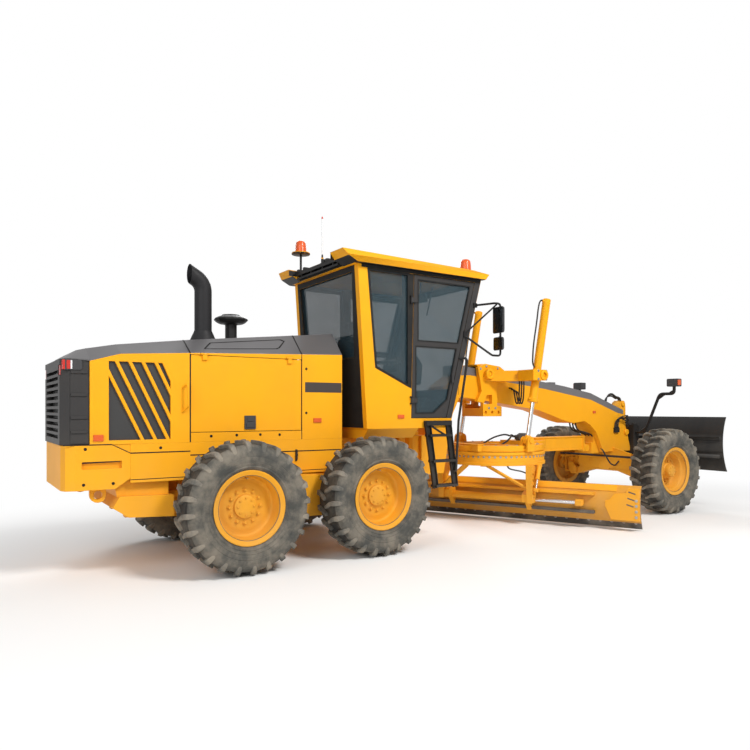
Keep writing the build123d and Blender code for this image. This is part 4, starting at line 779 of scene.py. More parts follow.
def stack_ring(turn, rise, radius, cut=None):
    """A ring of the stack: straight up to the bend, round it by a turn, or run on to a vertical cut."""
    bend, start = 0.17, 2.945
    centre = Vector((-bend + bend * math.cos(turn), 0, start + bend * math.sin(turn) + rise))
    out, along = Vector((math.cos(turn), 0, math.sin(turn))), Vector((-math.sin(turn), 0, math.cos(turn)))
    points = [centre + radius * (out * math.cos(a) + Vector((0, math.sin(a), 0))) for a in angles(48)]
    if cut is not None:
        points = [q + along * ((cut - q.x) / along.x) for q in points]
    return [q + STACK for q in points]


last = math.radians(60)
stack_rings = [stack_ring(0, -0.645, 0.094), stack_ring(0, -0.3, 0.094)]
stack_rings += [stack_ring(last * n / 12, 0, 0.094) for n in range(13)]
stack_rings += [stack_ring(last, 0, 0.094, -0.15), stack_ring(last, 0, 0.091, -0.154),
    stack_ring(last, 0, 0.087, -0.152)]
stack_rings += [stack_ring(last * n / 12, 0, 0.086) for n in range(11, -1, -1)] + [stack_ring(0, -0.2, 0.086)]
Work().skin(stack_rings).object("exhaust_stack", stack_black, "rear_body", "exhaust_and_intake", 40)
Work().lathe([(0.092, 0.0), (0.15, 0.0), (0.146, 0.012), (0.118, 0.075), (0.098, 0.118), (0.0975, 0.124),
    (0.092, 0.124)], STACK + Vector((0, 0, 2.385))).object("stack_foot", stack_black)
cleaner = Work().lathe([(AXIS_GAP, 0), (0.067, 0), (0.067, 0.318), (0.088, 0.326), (0.14, 0.333),
    (0.172, 0.35), (0.178, 0.358), (0.193, 0.37), (0.194, 0.382), (0.186, 0.392), (0.15, 0.41),
    (0.112, 0.424), (0.104, 0.434), (0.08, 0.4378), (AXIS_GAP, 0.438)], (0.27, 0, 2.3), (0, 0, 1), 14)
cleaner.turned([(0.074, 0.1), (0.08, 0.106), (0.08, 0.128), (0.074, 0.134)], (0.27, 0, 2.3), (0, 0, 1), 32)
cleaner.object("precleaner_cap", black_paint, angle=15)


# Cab

def rear_wall(z):
    """x of the cab's sloping rear face at a height."""
    return 1.63 + (1.495 - 1.63) * (z - 1.295) / (3.34 - 1.295)


cab_data = frame["nodes"]["cab_body"].data
cab_data.materials.append(seal_black)
for face in cab_data.polygons:
    here = face.center - ORIGIN
    behind = rear_wall(here.z)
    ahead = 2.87 + (3.4 - 2.87) * (here.z - 1.41) / (3.34 - 1.41)
    between = behind + 0.003 < here.x < ahead - 0.003 and 1.42 < here.z < 3.338
    if abs(here.y) > 0.8205 or between and (abs(here.y) < 0.765
            or (abs(here.y) < 0.8195 and abs(face.normal.y) < 0.5)):
        face.material_index = len(cab_data.materials) - 1

lights = cad_copy("lamp_lenses", "lamp_glass", lens_red)
lights.data.materials.append(lens_orange)
for face in lights.data.polygons:
    if face.center.x > ORIGIN.x - 1.5:
        face.material_index = 1
low_lamps = bmesh.new()
low_lamps.from_mesh(lights.data)
bmesh.ops.delete(low_lamps, geom=[face for face in low_lamps.faces if face.calc_center_median().z > 3.4],
    context="FACES")
low_lamps.to_mesh(lights.data)
low_lamps.free()


def wall_panel(work, corners):
    """A thin panel over the cab's rear wall, from (y, z) corners."""
    work.skin([[(rear_wall(z) - d, y, z) for y, z in corners] for d in (0.004, 0.0)])


back = Work()
wall_panel(back, [(-0.74, 1.42), (0.74, 1.42), (0.74, 2.249), (-0.74, 2.249)])
for side in (-1, 1):
    wall_panel(back, [(side * 0.74, 2.2495), (side * 0.621, 2.2495), (side * 0.681, 3.261),
        (side * 0.74, 3.33)])
wall_panel(back, [(-0.7395, 3.3305), (-0.681, 3.2615), (0.681, 3.2615), (0.7395, 3.3305)])
back.object("cab_back_lining", seal_black)


def frame_strip(name, outline, width, y, depth, body):
    """A flat frame round a window seen from the side: the outline and a copy drawn in by a width."""
    centre = Vector((sum(p[0] for p in outline), sum(p[1] for p in outline))) / len(outline)
    inner = []
    count = len(outline)
    for n, point in enumerate(outline):
        here = Vector(point)
        before = (here - Vector(outline[n - 1])).normalized()
        after = (Vector(outline[(n + 1) % count]) - here).normalized()
        inward = (before.orthogonal(), after.orthogonal())
        inward = [v if v.dot(centre - here) > 0 else -v for v in inward]
        bisector = (inward[0] + inward[1]).normalized()
        inner.append(here + bisector * (width / max(0.3, bisector.dot(inward[0]))))
    places = ((outline, y), (outline, y + depth), (inner, y + depth), (inner, y))
    Work().skin([[(x, at, z) for x, z in ring] for ring, at in places], closed=True).object(
        name, seal_black, body)


SIDE_WINDOW = [(1.735, 2.13), (2.235, 1.905), (2.235, 3.3), (1.625, 3.3)]
DOOR_WINDOWS = {"upper": [(2.36, 2.48), (3.015, 2.48), (3.22, 3.245), (2.36, 3.245)],
    "lower": [(2.325, 1.585), (2.61, 1.585), (2.835, 1.76), (2.99, 2.425), (2.325, 2.425)]}
for hand, side in HANDS:
    frame_strip(f"side_window_seal_{hand}", SIDE_WINDOW, 0.028, side * 0.8195, side * 0.003, "rear_body")
    for place, outline in DOOR_WINDOWS.items():
        frame_strip(f"door_{place}_seal_{hand}", outline, 0.016, side * 0.812, side * 0.008,
            f"cab_door_{hand}")
for hand, side in HANDS:
    trims = Work()
    trims.flank([(2.236, 1.908), (2.2655, 1.893), (2.303, 3.298), (2.236, 3.298)], side, 0.8195, 0.8214)
    trims.flank([(1.545, 3.301), (3.385, 3.301), (3.394, 3.3385), (1.545, 3.3385)], side, 0.8195, 0.8214)
    trims.object(f"pillar_trim_{hand}", seal_black)
    Work().flank([(2.8152, 1.53), (2.896, 1.53), (3.386, 3.3), (3.2902, 3.3)], side, 0.8195, 0.8216).object(
        f"front_pillar_cover_{hand}", dark_grey)


# Seat, console and column inside the cab

def cushion(name, centre, size, tilt, crown=0.03, channels=4):
    """A crowned seat pad with pulled-in sides and sewn channels across it."""
    wide, long, thick = size
    count = 22
    work = Work()
    centre = Vector(centre) + ORIGIN
    grid = {}
    for top in (0, 1):
        for i in range(count + 1):
            for j in range(count + 1):
                s, t = i / count * 2 - 1, j / count * 2 - 1
                edge = (1 - abs(s) ** 5) * (1 - abs(t) ** 5)
                pull = 1 - 0.06 * (1 - min(1, edge * 3))
                height = (0.22 + 0.28 * edge ** 0.5) * thick + crown * edge ** 0.4 * (1 - 0.35 * s * s)
                seam = 0.012 * math.exp(-((math.sin((t + 1) * math.pi * channels / 2)) / 0.16) ** 2) * edge
                z = (height - seam) if top else -0.3 * thick * (0.6 + 0.4 * edge)
                if 0 in (i, j) or count in (i, j):
                    z = 0.0
                    if not top:
                        grid[top, i, j] = grid.get((1, i, j))
                if grid.get((top, i, j)) is None:
                    shift = Vector((s * wide / 2 * pull, t * long / 2 * pull, z))
                    grid[top, i, j] = work.mesh.verts.new(centre + tilt @ shift)
                    grid.setdefault((1 - top, i, j), grid[top, i, j] if z == 0.0 else None)
    for top in (0, 1):
        for i in range(count):
            for j in range(count):
                corners = [grid[top, i, j], grid[top, i + 1, j], grid[top, i + 1, j + 1], grid[top, i, j + 1]]
                work.mesh.faces.new(corners if top else corners[::-1])
    finished(name, work.data(name), seat_cloth, "rear_body", (), 60)


CAB_FLOOR = 1.4703
inside = Work()
inside.box((1.9, 2.25), (-0.2, 0.2), (0, 0.34))
inside.box((1.9, 2.33), (0.3, 0.38), (0, 0.6))
inside.box((1.9, 2.33), (-0.38, -0.3), (0, 0.6))
inside.prism([(2.56, 0), (2.68, 0), (2.6, 0.76), (2.52, 0.76)], "y", -0.11, 0.11)
inside.bar((2.5, 0, 0.74), (2.5, 0, 0.815), 0.045, 24, 0.008)
inside.box((2.315, 2.685), (-0.015, 0.015), (0.793, 0.807))
inside.box((2.485, 2.515), (-0.185, 0.185), (0.793, 0.807))
inside.box((1.7, 1.79), (-0.74, 0.74), (0, 0.72))
for side in (-1, 1):
    inside.flank([(1.83, 0.001), (2.33, 0.001), (2.42, 0.56), (2.4, 0.66), (1.86, 0.59)], side, 0.39, 0.56)
inside.prism([(2.56, 0.002), (2.83, 0.002), (2.905, 0.26), (2.7, 0.33), (2.6, 0.2)], "y", -0.56, 0.56)
inside.prism([(2.6, 0.56), (2.8, 0.5), (2.83, 0.76), (2.74, 0.88), (2.64, 0.84)], "y", -0.3, 0.3)
inside.bar((2.56, 0, 0.7), (2.68, 0, 0.77), 0.03, 12, 0.004)
for side in (-1, 1):
    for n in range(3):
        lever = (2.3 + 0.035 * n, side * 0.44, 0.62)
        inside.bar(lever, (lever[0] + 0.02, lever[1], lever[2] + 0.19), 0.008, 10, 0.001)
        inside.bar((lever[0] + 0.018, lever[1], lever[2] + 0.18),
            (lever[0] + 0.024, lever[1], lever[2] + 0.23), 0.016, 12, 0.006)
inside.moved(Matrix.Translation((0, 0, CAB_FLOOR)))
for side in (-1, 1):
    inside.box((2.205, 2.3), across(side, 0.7, 0.759), (CAB_FLOOR, 3.33))
inside.bar((3.0, -0.3, 3.29), (2.9, -0.3, 2.9), 0.008, 10, 0.001)
inside.box((2.78, 2.82), (-0.42, -0.18), (3.06, 3.16))
inside.bar((2.8, -0.3, 3.1), (2.8, -0.3, 3.33), 0.008, 10, 0.001)
inside.object("console_and_column", trim_plastic, "rear_body", "cab_interior")
Work().lathe([(0.19 + 0.015 * math.cos(a), 0.015 * math.sin(a)) for a in angles(12)],
    (2.5, 0, CAB_FLOOR + 0.8), (0, 0, 1), 64).object("steering_wheel_ring", trim_plastic)
cushion("seat_pad", (2.12, 0, CAB_FLOOR + 0.395), (0.48, 0.5, 0.13), Matrix.Identity(3))
upright = Matrix.Rotation(math.radians(82), 3, "Y") @ Matrix.Rotation(math.radians(180), 3, "X")
cushion("seat_back", (1.905, 0, CAB_FLOOR + 0.8), (0.64, 0.47, 0.11), upright)
cushion("head_rest", (1.845, 0, CAB_FLOOR + 1.2), (0.19, 0.26, 0.09), upright, 0.015, 1)


# Mirrors

for hand, side in HANDS:
    for label, low, high, y0, y1 in (("tall", 2.63, 2.95, 1.01, 1.18), ("small", 2.41, 2.56, 1.02, 1.17)):
        Work().box((3.4385, 3.4402), across(side, y0, y1), (low, high)).object(
            f"mirror_{label}_{hand}", mirror_face)


# Drawbar, circle and blade

CIRCLE = Vector((4.4, 0, 0))
BLADE_TURN = Matrix.Translation(CIRCLE) @ Matrix.Rotation(math.radians(25.5), 4, "Z")


def on_blade(x, y, z):
    """A point given square to the blade, about the circle's centre."""
    return BLADE_TURN @ Vector((x, y, z))


def blade_normal(x, y, z):
    """A direction given square to the blade."""
    return BLADE_TURN.to_3x3() @ Vector((x, y, z))


JACK_Y = 0.752
circle = Work()
circle.lathe([(0.613, 0.85), (0.747, 0.85), (0.75, 0.853), (0.75, 0.888), (0.746, 0.892), (0.736, 0.895),
    (0.736, 0.992), (0.746, 0.996), (0.75, 1.0), (0.75, 1.037), (0.747, 1.04), (0.613, 1.04), (0.61, 1.037),
    (0.61, 0.853)], (0, 0, 0), (0, 0, 1), 128)
LEG = [(-0.44, 0.86), (0.06, 0.86), (0.02, 0.78), (-0.16, 0.72), (-0.24, 0.62), (-0.25, 0.44), (-0.262, 0.32),
    (-0.4, 0.32), (-0.405, 0.44), (-0.44, 0.62)]
for hand, side in HANDS:
    circle.flank(LEG, side, 0.64, 0.7)
    circle.flank([(-0.44, 0.856), (-0.416, 0.856), (-0.416, 0.62), (-0.384, 0.44), (-0.384, 0.33),
        (-0.4, 0.32), (-0.405, 0.44), (-0.44, 0.62)], side, 0.699, 0.724)
    circle.flank([(0.056, 0.856), (0.016, 0.782), (-0.164, 0.722), (-0.244, 0.622), (-0.254, 0.442),
        (-0.266, 0.33), (-0.284, 0.33), (-0.274, 0.45), (-0.262, 0.632), (-0.178, 0.742), (0.0, 0.8),
        (0.028, 0.856)], side, 0.699, 0.724)
    for k in range(4):
        z = 0.47 + 0.082 * k
        x = -0.332 - 0.003 * k
        circle.flank([(x - 0.045, z), (x, z + 0.036), (x + 0.045, z), (x + 0.045, z + 0.026), (x, z + 0.064),
            (x - 0.045, z + 0.026)], side, 0.699, 0.716)
    circle.lathe([(0.034, 0.0), (0.058, 0.0), (0.06, 0.004), (0.06, 0.022), (0.056, 0.026), (0.034, 0.026)],
        (-0.33, side * 0.699, 0.38), (0, side, 0), 32)
    circle.beam((-0.66, side * 0.16, 0.848), (-0.352, side * 0.632, 0.52), 0.075, 0.022, (0.4, 0, 1))
circle.moved(BLADE_TURN)
circle.object("circle_and_legs", yellow, "circle", "circle_ring")
copies("circle_bolts", hex_bolt(0.011, 0.01),
    [(CIRCLE + Vector((0.7355 * math.cos(a), 0.7355 * math.sin(a), 0.972)),
    facing((math.cos(a), math.sin(a), 0))) for a in angles(60)], zinc, "circle")
gear_tooth = Work().prism([(0.611, -0.013), (0.602, -0.007), (0.602, 0.007), (0.611, 0.013)],
    "z", 0.885, 1.005)
copies("circle_teeth", gear_tooth.data("gear_tooth"),
    [(CIRCLE, (0, 0, 2 * math.pi * n / 72)) for n in range(72)], cast_grey, "circle")
for hand, side in HANDS:
    jack = Work()
    jack.bar((-0.175, side * JACK_Y, 0.835), (-0.262, side * JACK_Y, 0.66), 0.03, 24, 0.006)
    jack.bar((-0.258, side * JACK_Y, 0.668), (-0.266, side * JACK_Y, 0.652), 0.036, 24, 0.003)
    for x, z in ((-0.168, 0.848), (-0.338, 0.508)):
        jack.bar((x, side * 0.722, z), (x, side * 0.784, z), 0.03, 24, 0.004)
    jack.moved(BLADE_TURN).object(f"tilt_jack_{hand}", yellow, "circle")
    Work().bar((-0.262, side * JACK_Y, 0.66), (-0.335, side * JACK_Y, 0.514), 0.015, 20, 0.002).moved(
        BLADE_TURN).object(f"tilt_jack_rod_{hand}", chrome, "circle")

yoke = Work()
yoke.lathe([(0.573, 1.046), (0.727, 1.046), (0.73, 1.049), (0.73, 1.127), (0.727, 1.13), (0.573, 1.13),
    (0.57, 1.127), (0.57, 1.049)], CIRCLE, (0, 0, 1), 128)
yoke.prism([(-0.11, 0.98), (0.11, 0.98), (0.11, 0.996), (0.099, 0.998), (0.099, 1.182), (0.11, 1.184),
    (0.11, 1.2), (-0.11, 1.2), (-0.11, 1.184), (-0.099, 1.182), (-0.099, 0.998), (-0.11, 0.996)],
    "x", 5.165, 6.3)
yoke.box((6.29, 6.312), (-0.118, 0.118), (0.972, 1.208))
ball = (6.45, 1.0)
eye = [(6.305, 0.98), (6.305, 1.2), (6.375, 1.12), (6.4, 1.06)]
eye += [(ball[0] + 0.0585 * math.cos(a), ball[1] + 0.0585 * math.sin(a))
    for a in (math.radians(149 + 10.3 * n) for n in range(7))]
eye.append((6.4, 0.94))
yoke.prism(eye, "y", -0.06, 0.06)
yoke.prism([(5.4, -0.11), (5.4, 0.11), (5.06, 0.33), (4.85, 0.33), (4.85, -0.33), (5.06, -0.33)],
    "z", 1.047, 1.16)
yoke.box((4.29, 4.43), (-0.69, 0.69), (1.047, 1.11))
yoke.box((4.318, 4.402), (-0.64, 0.64), (1.105, 1.128))
yoke.box((3.72, 3.82), (-0.4, 0.4), (1.047, 1.15))
yoke.box((3.712, 3.828), (-0.408, 0.408), (1.138, 1.152))
for hand, side in HANDS:
    arch = [(4.36 + 0.06 * math.cos(a), 1.2 + 0.06 * math.sin(a))
        for a in (math.pi * n / 12 for n in range(13))]
    outline = [(4.43, 1.047), (4.428, 1.14)] + arch + [(4.292, 1.14), (4.29, 1.047)]
    for near, far in ((0.645, 0.675), (0.765, 0.795)):
        yoke.flank(outline, side, near, far)
    yoke.box((4.291, 4.429), across(side, 0.652, 0.79), (1.048, 1.085))
    for start, end in ((0.794, 0.812), (0.646, 0.628)):
        yoke.bar((4.36, side * start, 1.2), (4.36, side * end, 1.2), 0.036, 24, 0.005)
    for u in (4.306, 4.414):
        yoke.flank([(u - 0.008, 1.1), (u + 0.008, 1.1), (u + 0.008, 1.06), (u - 0.008, 1.06)],
            side, 0.56, 0.646)
for angle in (35, 145, 215, 325):
    turn = Matrix.Rotation(math.radians(angle), 3, "Z")
    for far, low, high in ((0.6, 0.83, 1.051), (0.63, 0.83, 0.8497)):
        corners = [CIRCLE + turn @ Vector(c) for c in ((0.565, -0.06, 0), (far, -0.06, 0), (far, 0.06, 0),
            (0.565, 0.06, 0))]
        yoke.prism([(c.x, c.y) for c in corners], "z", low, high)
yoke.object("drawbar_frame", yellow, "drawbar", "drawbar")
motor = Work()
motor.lathe([(AXIS_GAP, 1.155), (0.095, 1.155), (0.097, 1.158), (0.097, 1.182), (0.094, 1.186), (0.082, 1.19),
    (0.082, 1.25), (0.078, 1.256), (0.06, 1.26), (0.056, 1.272), (AXIS_GAP, 1.275)], (5.0, 0, 0))
motor.box((4.88, 4.94), (-0.045, 0.045), (1.175, 1.245))
motor.object("circle_motor", cast_grey, "drawbar")
copies("drawbar_bolts", hex_bolt(0.012, 0.01),
    [((5.0 + 0.088 * math.cos(a), 0.088 * math.sin(a), 1.184), (0, 0, 0)) for a in angles(8)]
    + [(CIRCLE + Vector((0.65 * math.cos(a), 0.65 * math.sin(a), 1.13)), (0, 0, 0))
    for a in (math.radians(25 + d + 180 * k) for k in (0, 1) for d in range(10, 150, 14))]
    + [((6.312, side * 0.095, z), facing((1, 0, 0))) for side in (-1, 1) for z in (1.0, 1.09, 1.18)],
    zinc, "drawbar")


# Moldboard

def blade_arc(centre_x, low=-43.6, high=43.6, steps=22, radius=0.3625):
    """Points up the curve of the moldboard."""
    return [(centre_x - radius * math.cos(a), 0.36 + radius * math.sin(a))
        for a in (math.radians(low + (high - low) * n / steps) for n in range(steps + 1))]


Work().prism(blade_arc(0.2875) + blade_arc(0.2655)[::-1], "y", -2.087, 2.087).moved(BLADE_TURN).object(
    "moldboard_sheet", blade_yellow_shaded, "moldboard", "moldboard", 30)
trim = Work()
trim.prism([(-0.064, 0.53), (-0.06, 0.542), (-0.032, 0.598), (-0.022, 0.608), (0.001, 0.608), (-0.05, 0.53)],
    "y", -1.78, 1.78)
trim.prism([(-0.155, 0.467), (-0.153, 0.465), (-0.072, 0.465), (-0.072, 0.505), (-0.153, 0.505),
    (-0.155, 0.503)], "y", -1.5, 1.5)
trim.prism([(-0.265, 0.33), (-0.24, 0.314), (-0.19, 0.314), (-0.092, 0.332), (-0.092, 0.388), (-0.19, 0.406),
    (-0.24, 0.406), (-0.265, 0.39)], "y", -1.36, -1.28)
trim.bar((-0.215, -1.372, 0.36), (-0.215, -1.268, 0.36), 0.044, 32, 0.005)
for side in (-1, 1):
    plate = [(side * 2.082, 0.15), (side * 2.082, 0.585), (side * 1.94, 0.585), (side * 1.905, 0.52),
        (side * 1.76, 0.5), (side * 1.7, 0.42), (side * 1.64, 0.4), (side * 1.64, 0.33), (side * 1.72, 0.15)]
    trim.prism(plate, "x", -0.106, -0.04)
trim.moved(BLADE_TURN).object("moldboard_rails", yellow, "moldboard")
dark = Work()
dark.prism([(-0.155, 0.217), (-0.153, 0.215), (-0.072, 0.215), (-0.072, 0.255), (-0.153, 0.255),
    (-0.155, 0.253)], "y", -1.5, 1.5)
for side in (-1, 1):
    for k in range(3):
        y, z = side * (1.985 - 0.012 * k), 0.5 - 0.085 * k
        dark.prism([(y - 0.045, z), (y + 0.045, z + 0.026), (y + 0.045, z + 0.044), (y - 0.045, z + 0.018)],
            "x", -0.1068, -0.105)
dark.moved(BLADE_TURN).object("moldboard_lower_rail", cast_grey, "moldboard")
Work().bar((-0.215, -1.3, 0.36), (-0.215, 0.04, 0.36), 0.026, 32, 0.004).moved(BLADE_TURN).object(
    "side_shift_rod", chrome, "moldboard")
edge = Work()
for low, high in ((-2.087, -1.246), (-1.243, -0.415), (-0.412, 0.412), (0.415, 1.243), (1.246, 2.087)):
    edge.prism([(-0.013, 0.14), (0.011, 0.14), (0.097, 0.022), (0.094, 0.02), (0.073, 0.02)], "y", low, high)
for side in (-1, 1):
    bit = blade_arc(0.2875, -36, 14, 12) + blade_arc(0.2875, -36, 14, 12, 0.3465)[::-1]
    edge.flank(bit, side, 1.93, 2.0868)
edge.moved(BLADE_TURN).object("cutting_edge", worn_steel, "moldboard")
bolt_spots = []
for n in range(27):
    y = -2.015 + 0.155 * n
    bolt_spots += [(on_blade(0.037, y, 0.104), facing(blade_normal(0.813, 0, 0.583))),
        (on_blade(0.013, y, 0.104), facing(blade_normal(-0.813, 0, -0.583)))]
for side in (-1, 1):
    for z in (0.2, 0.275, 0.35, 0.42):
        bolt_spots.append((on_blade(-0.106, side * 2.04, z), facing(blade_normal(-1, 0, 0))))
copies("moldboard_bolts", hex_bolt(0.013, 0.012), bolt_spots, zinc, "moldboard")
carrier_bolts = []
for side in (-1, 1):
    for z in (0.275, 0.325, 0.405, 0.445):
        carrier_bolts.append((on_blade(-0.175, side * 0.599, z), facing(blade_normal(-1, 0, 0))))
copies("carrier_bolts", hex_bolt(0.011, 0.009), carrier_bolts, zinc, "blade_carrier")
gland = Work()
gland.lathe([(0.0268, 0.0), (0.056, 0.0), (0.058, 0.003), (0.058, 0.045), (0.054, 0.05), (0.0268, 0.05)],
    (-0.215, -0.5645, 0.36), (0, -1, 0), 32)
gland.turned([(0.05, -0.002), (0.058, 0.003), (0.058, 0.03), (0.0525, 0.034), (0.0525, 1.178)],
    (-0.215, 0.612, 0.36), (0, -1, 0), 32)
gland.moved(BLADE_TURN).object("side_shift_barrel", yellow, "blade_carrier")


# Lift cylinders

TRUNNION = Vector((4.54, 0.72, 2.124))
LIFT_EYE = Vector((4.36, 0.72, 1.2))
for hand, side in HANDS:
    head = Vector((TRUNNION.x, side * TRUNNION.y, TRUNNION.z))
    low_eye = Vector((LIFT_EYE.x, side * LIFT_EYE.y, LIFT_EYE.z))
    down = (low_eye - head).normalized()
    barrel = Work()
    barrel.turned([(0.05, -1.125), (0.059, -1.116), (0.059, -1.06), (0.0575, -1.056), (0.0575, -0.08),
        (0.072, -0.074), (0.0738, -0.07), (0.0738, 0.07), (0.072, 0.074), (0.0575, 0.08), (0.0575, 0.32),
        (0.066, 0.328), (0.073, 0.333), (0.073, 0.384), (0.068, 0.39), (0.0308, 0.39), (0.0308, -1.084)],
        head, down, 48)
    barrel.bar(head + Vector((0, -0.14, 0)), head + Vector((0, 0.14, 0)), 0.0358, 32, 0.004)
    back = Vector((down.z, 0, -down.x))
    back = back if back.x < 0 else -back
    for distance in (-1.085, 0.35):
        barrel.bar(head + down * distance + back * 0.05, head + down * distance + back * 0.088, 0.017, 16,
            0.003)
    barrel.object(f"lift_cylinder_{hand}", yellow, f"lift_barrel_{hand}", f"lift_barrel_{hand}", 40)
    Work().bar(low_eye - down * 1.57, low_eye - down * 0.03, 0.03, 32, 0.003).object(
        f"lift_piston_{hand}", chrome, f"lift_rod_{hand}", f"lift_rod_{hand}")
    ring = Work()
    ring.lathe([(0.02, -0.035), (0.054, -0.035), (0.058, -0.031), (0.058, 0.031), (0.054, 0.035),
        (0.02, 0.035)], low_eye, (0, 1, 0), 40)
    ring.turned([(0.036, -0.074), (0.04, -0.068), (0.048, -0.03)], low_eye, down, 32)
    ring.object(f"lift_eye_{hand}", yellow, f"lift_rod_{hand}", angle=40)
    top = head + down * -1.085 + back * 0.086
    low = head + down * -0.11 + back * 0.0575
    hose(f"lift_hose_{hand}", [top, top + back * 0.03, top + back * 0.06 + down * 0.08, head + down * -0.75
        + back * 0.135, head + down * -0.42 + back * 0.14, head + down * -0.2 + back * 0.115,
        low + back * 0.035 - down * 0.02, low], 0.011, f"lift_barrel_{hand}")
    bosses = Work()
    for near, far in ((0.865, 0.885), (0.57, 0.552)):
        bosses.lathe([(0.0365, 0), (0.07, 0), (0.074, 0.004), (0.074, 0.014), (0.064, 0.02), (0.0365, 0.02)],
            (TRUNNION.x, side * near, TRUNNION.z), (0, math.copysign(1, far - near) * side, 0), 40)
    bosses.lathe([(0.034, 0.0), (0.074, 0.0), (0.078, 0.005), (0.078, 0.034), (0.068, 0.042), (0.044, 0.042),
        (0.034, 0.034)], (4.05, side * 0.2705, 2.15), (0, side, 0), 40)
    bosses.turned([(0.03, 0.0), (0.03, 0.028), (0.026, 0.032)], (4.05, side * 0.2705, 2.15), (0, side, 0), 24)
    bosses.object(f"saddle_bosses_{hand}", yellow, "front_body")
copies("saddle_bolts", hex_bolt(0.013, 0.012),
    [((u, side * 0.2305, z), facing((0, side, 0))) for side in (-1, 1) for u, z in ((3.93, 2.225),
    (4.04, 2.262), (4.26, 2.24), (4.38, 2.18), (4.38, 2.07), (4.09, 1.66), (4.215, 1.66))]
    + [((TRUNNION.x + dx, side * 0.865, TRUNNION.z + dz), facing((0, side, 0))) for side in (-1, 1)
    for dx in (-0.11, 0.045) for dz in (-0.058, 0.058)], zinc, "front_body")


# Hoses of the saddle, the drawbar and the nose

for n in range(3):
    x = 4.43 + 0.045 * n
    low = 1.96 - 0.02 * n
    route = [(x, -0.5, 2.0485), (x, -0.5, 1.82), (x + 0.04, -0.42, 1.71), (x + 0.09, -0.33, 1.76),
        (x + 0.12, -0.27, low), (x + 0.12, -0.1705, low)]
    hose(f"saddle_hose_{n}", route, 0.011, "front_body", ("hydraulic_hoses",) if n == 0 else ())
for n, side in enumerate((-1, 1)):
    hose(f"motor_hose_{n}", [(4.882, side * 0.025, 1.215), (4.8, side * 0.03, 1.225),
        (4.69, side * 0.06, 1.262), (4.6, side * 0.16, 1.225), (4.52, side * 0.19, 1.19),
        (4.44, side * 0.2, 1.15), (4.38, side * 0.2, 1.127)], 0.013, "drawbar")
hose("circle_hose", [on_blade(-0.56, -0.42, 0.852), on_blade(-0.56, -0.425, 0.815),
    on_blade(-0.5, -0.5, 0.79), on_blade(-0.43, -0.59, 0.77), on_blade(-0.4, -0.655, 0.735),
    on_blade(-0.372, -0.68, 0.7), on_blade(-0.352, -0.6995, 0.69)], 0.01, "circle")


# Nose, front axle and lamps

axle_face = Work()
axle_face.prism([(-0.52, 0.64), (0.52, 0.64), (0.56, 0.72), (0.515, 0.9), (0.18, 0.985), (-0.18, 0.985),
    (-0.515, 0.9), (-0.56, 0.72)], "x", 6.97, 6.989)
axle_face.prism([(-0.515, 0.892), (-0.515, 0.905), (-0.18, 0.992), (0.18, 0.992), (0.515, 0.905),
    (0.515, 0.892), (0.18, 0.979), (-0.18, 0.979)], "x", 6.968, 7.01)
for side in (-1, 1):
    axle_face.lathe([(0.02, 0), (0.04, 0), (0.042, 0.003), (0.042, 0.008), (0.02, 0.008)],
        (6.971, side * 0.3, 0.76), (-1, 0, 0), 24)
axle_face.object("axle_face_plate", yellow, "front_body")
nose = Work()
nose.prism([(7.255, 1.52), (7.268, 1.64), (7.31, 1.76), (7.35, 1.795), (7.395, 1.79), (7.425, 1.745),
    (7.434, 1.66), (7.436, 1.38), (7.405, 1.18), (7.36, 1.3)], "y", -0.085, 0.085)
for side in (-1, 1):
    nose.turned([(0.04, 0), (0.043, 0.004), (0.043, 0.018), (0.036, 0.024)], (7.355, side * 0.084, 1.735),
        (0, side, 0), 28)
    nose.turned([(0.048, 0), (0.052, 0.005), (0.052, 0.02), (0.044, 0.026)], (7.33, side * 0.1695, 1.25),
        (0, side, 0), 28)
nose.object("nose_casting", yellow, "front_body")
block = Work()
block.box((6.99, 7.11), (-0.206, -0.17), (1.25, 1.33))
for k in range(3):
    block.bar((7.01 + 0.04 * k, -0.188, 1.329), (7.01 + 0.04 * k, -0.188, 1.348), 0.015, 12, 0.002)
block.object("nose_valve_block", black_paint, "front_body")
for n, (u, z, far_u, far_z, out) in enumerate(((7.01, 1.348, 7.24, 1.48, 0.29),
        (7.05, 1.348, 7.3, 1.42, 0.25), (7.09, 1.348, 7.33, 1.34, 0.225))):
    hose(f"nose_side_hose_{n}", [(u, -0.188, z), (u, -0.19, z + 0.08),
        (u + 0.03, -0.5 * (0.19 + out), z + 0.15), (0.5 * (u + far_u), -out, 0.5 * (z + far_z) + 0.12),
        (far_u, -out, far_z + 0.06), (far_u, -0.215, far_z), (far_u, -0.1705, far_z)], 0.01, "front_body")
for n, (u, y) in enumerate(((6.9, -0.09), (6.96, -0.03), (7.02, 0.04))):
    z = 1.63 + (7.26 - u) / 0.85 * 0.28
    hose(f"nose_top_hose_{n}", [(u, y, z - 0.004), (u + 0.005, y, z + 0.07), (u + 0.06, y, z + 0.15),
        (u + 0.19, y * 0.8, z + 0.17), (u + 0.3, y * 0.7, z + 0.11), (7.33 + 0.02 * n, y * 0.6, 1.85),
        (7.345 + 0.02 * n, y * 0.6, 1.786)], 0.011, "front_body")
hose("axle_hose", [(6.7, -0.091, 1.02), (6.7, -0.15, 1.0), (6.72, -0.23, 0.86), (6.78, -0.27, 0.73),
    (6.88, -0.29, 0.7), (6.93, -0.29, 0.74), (6.969, -0.29, 0.77)], 0.012, "front_body")
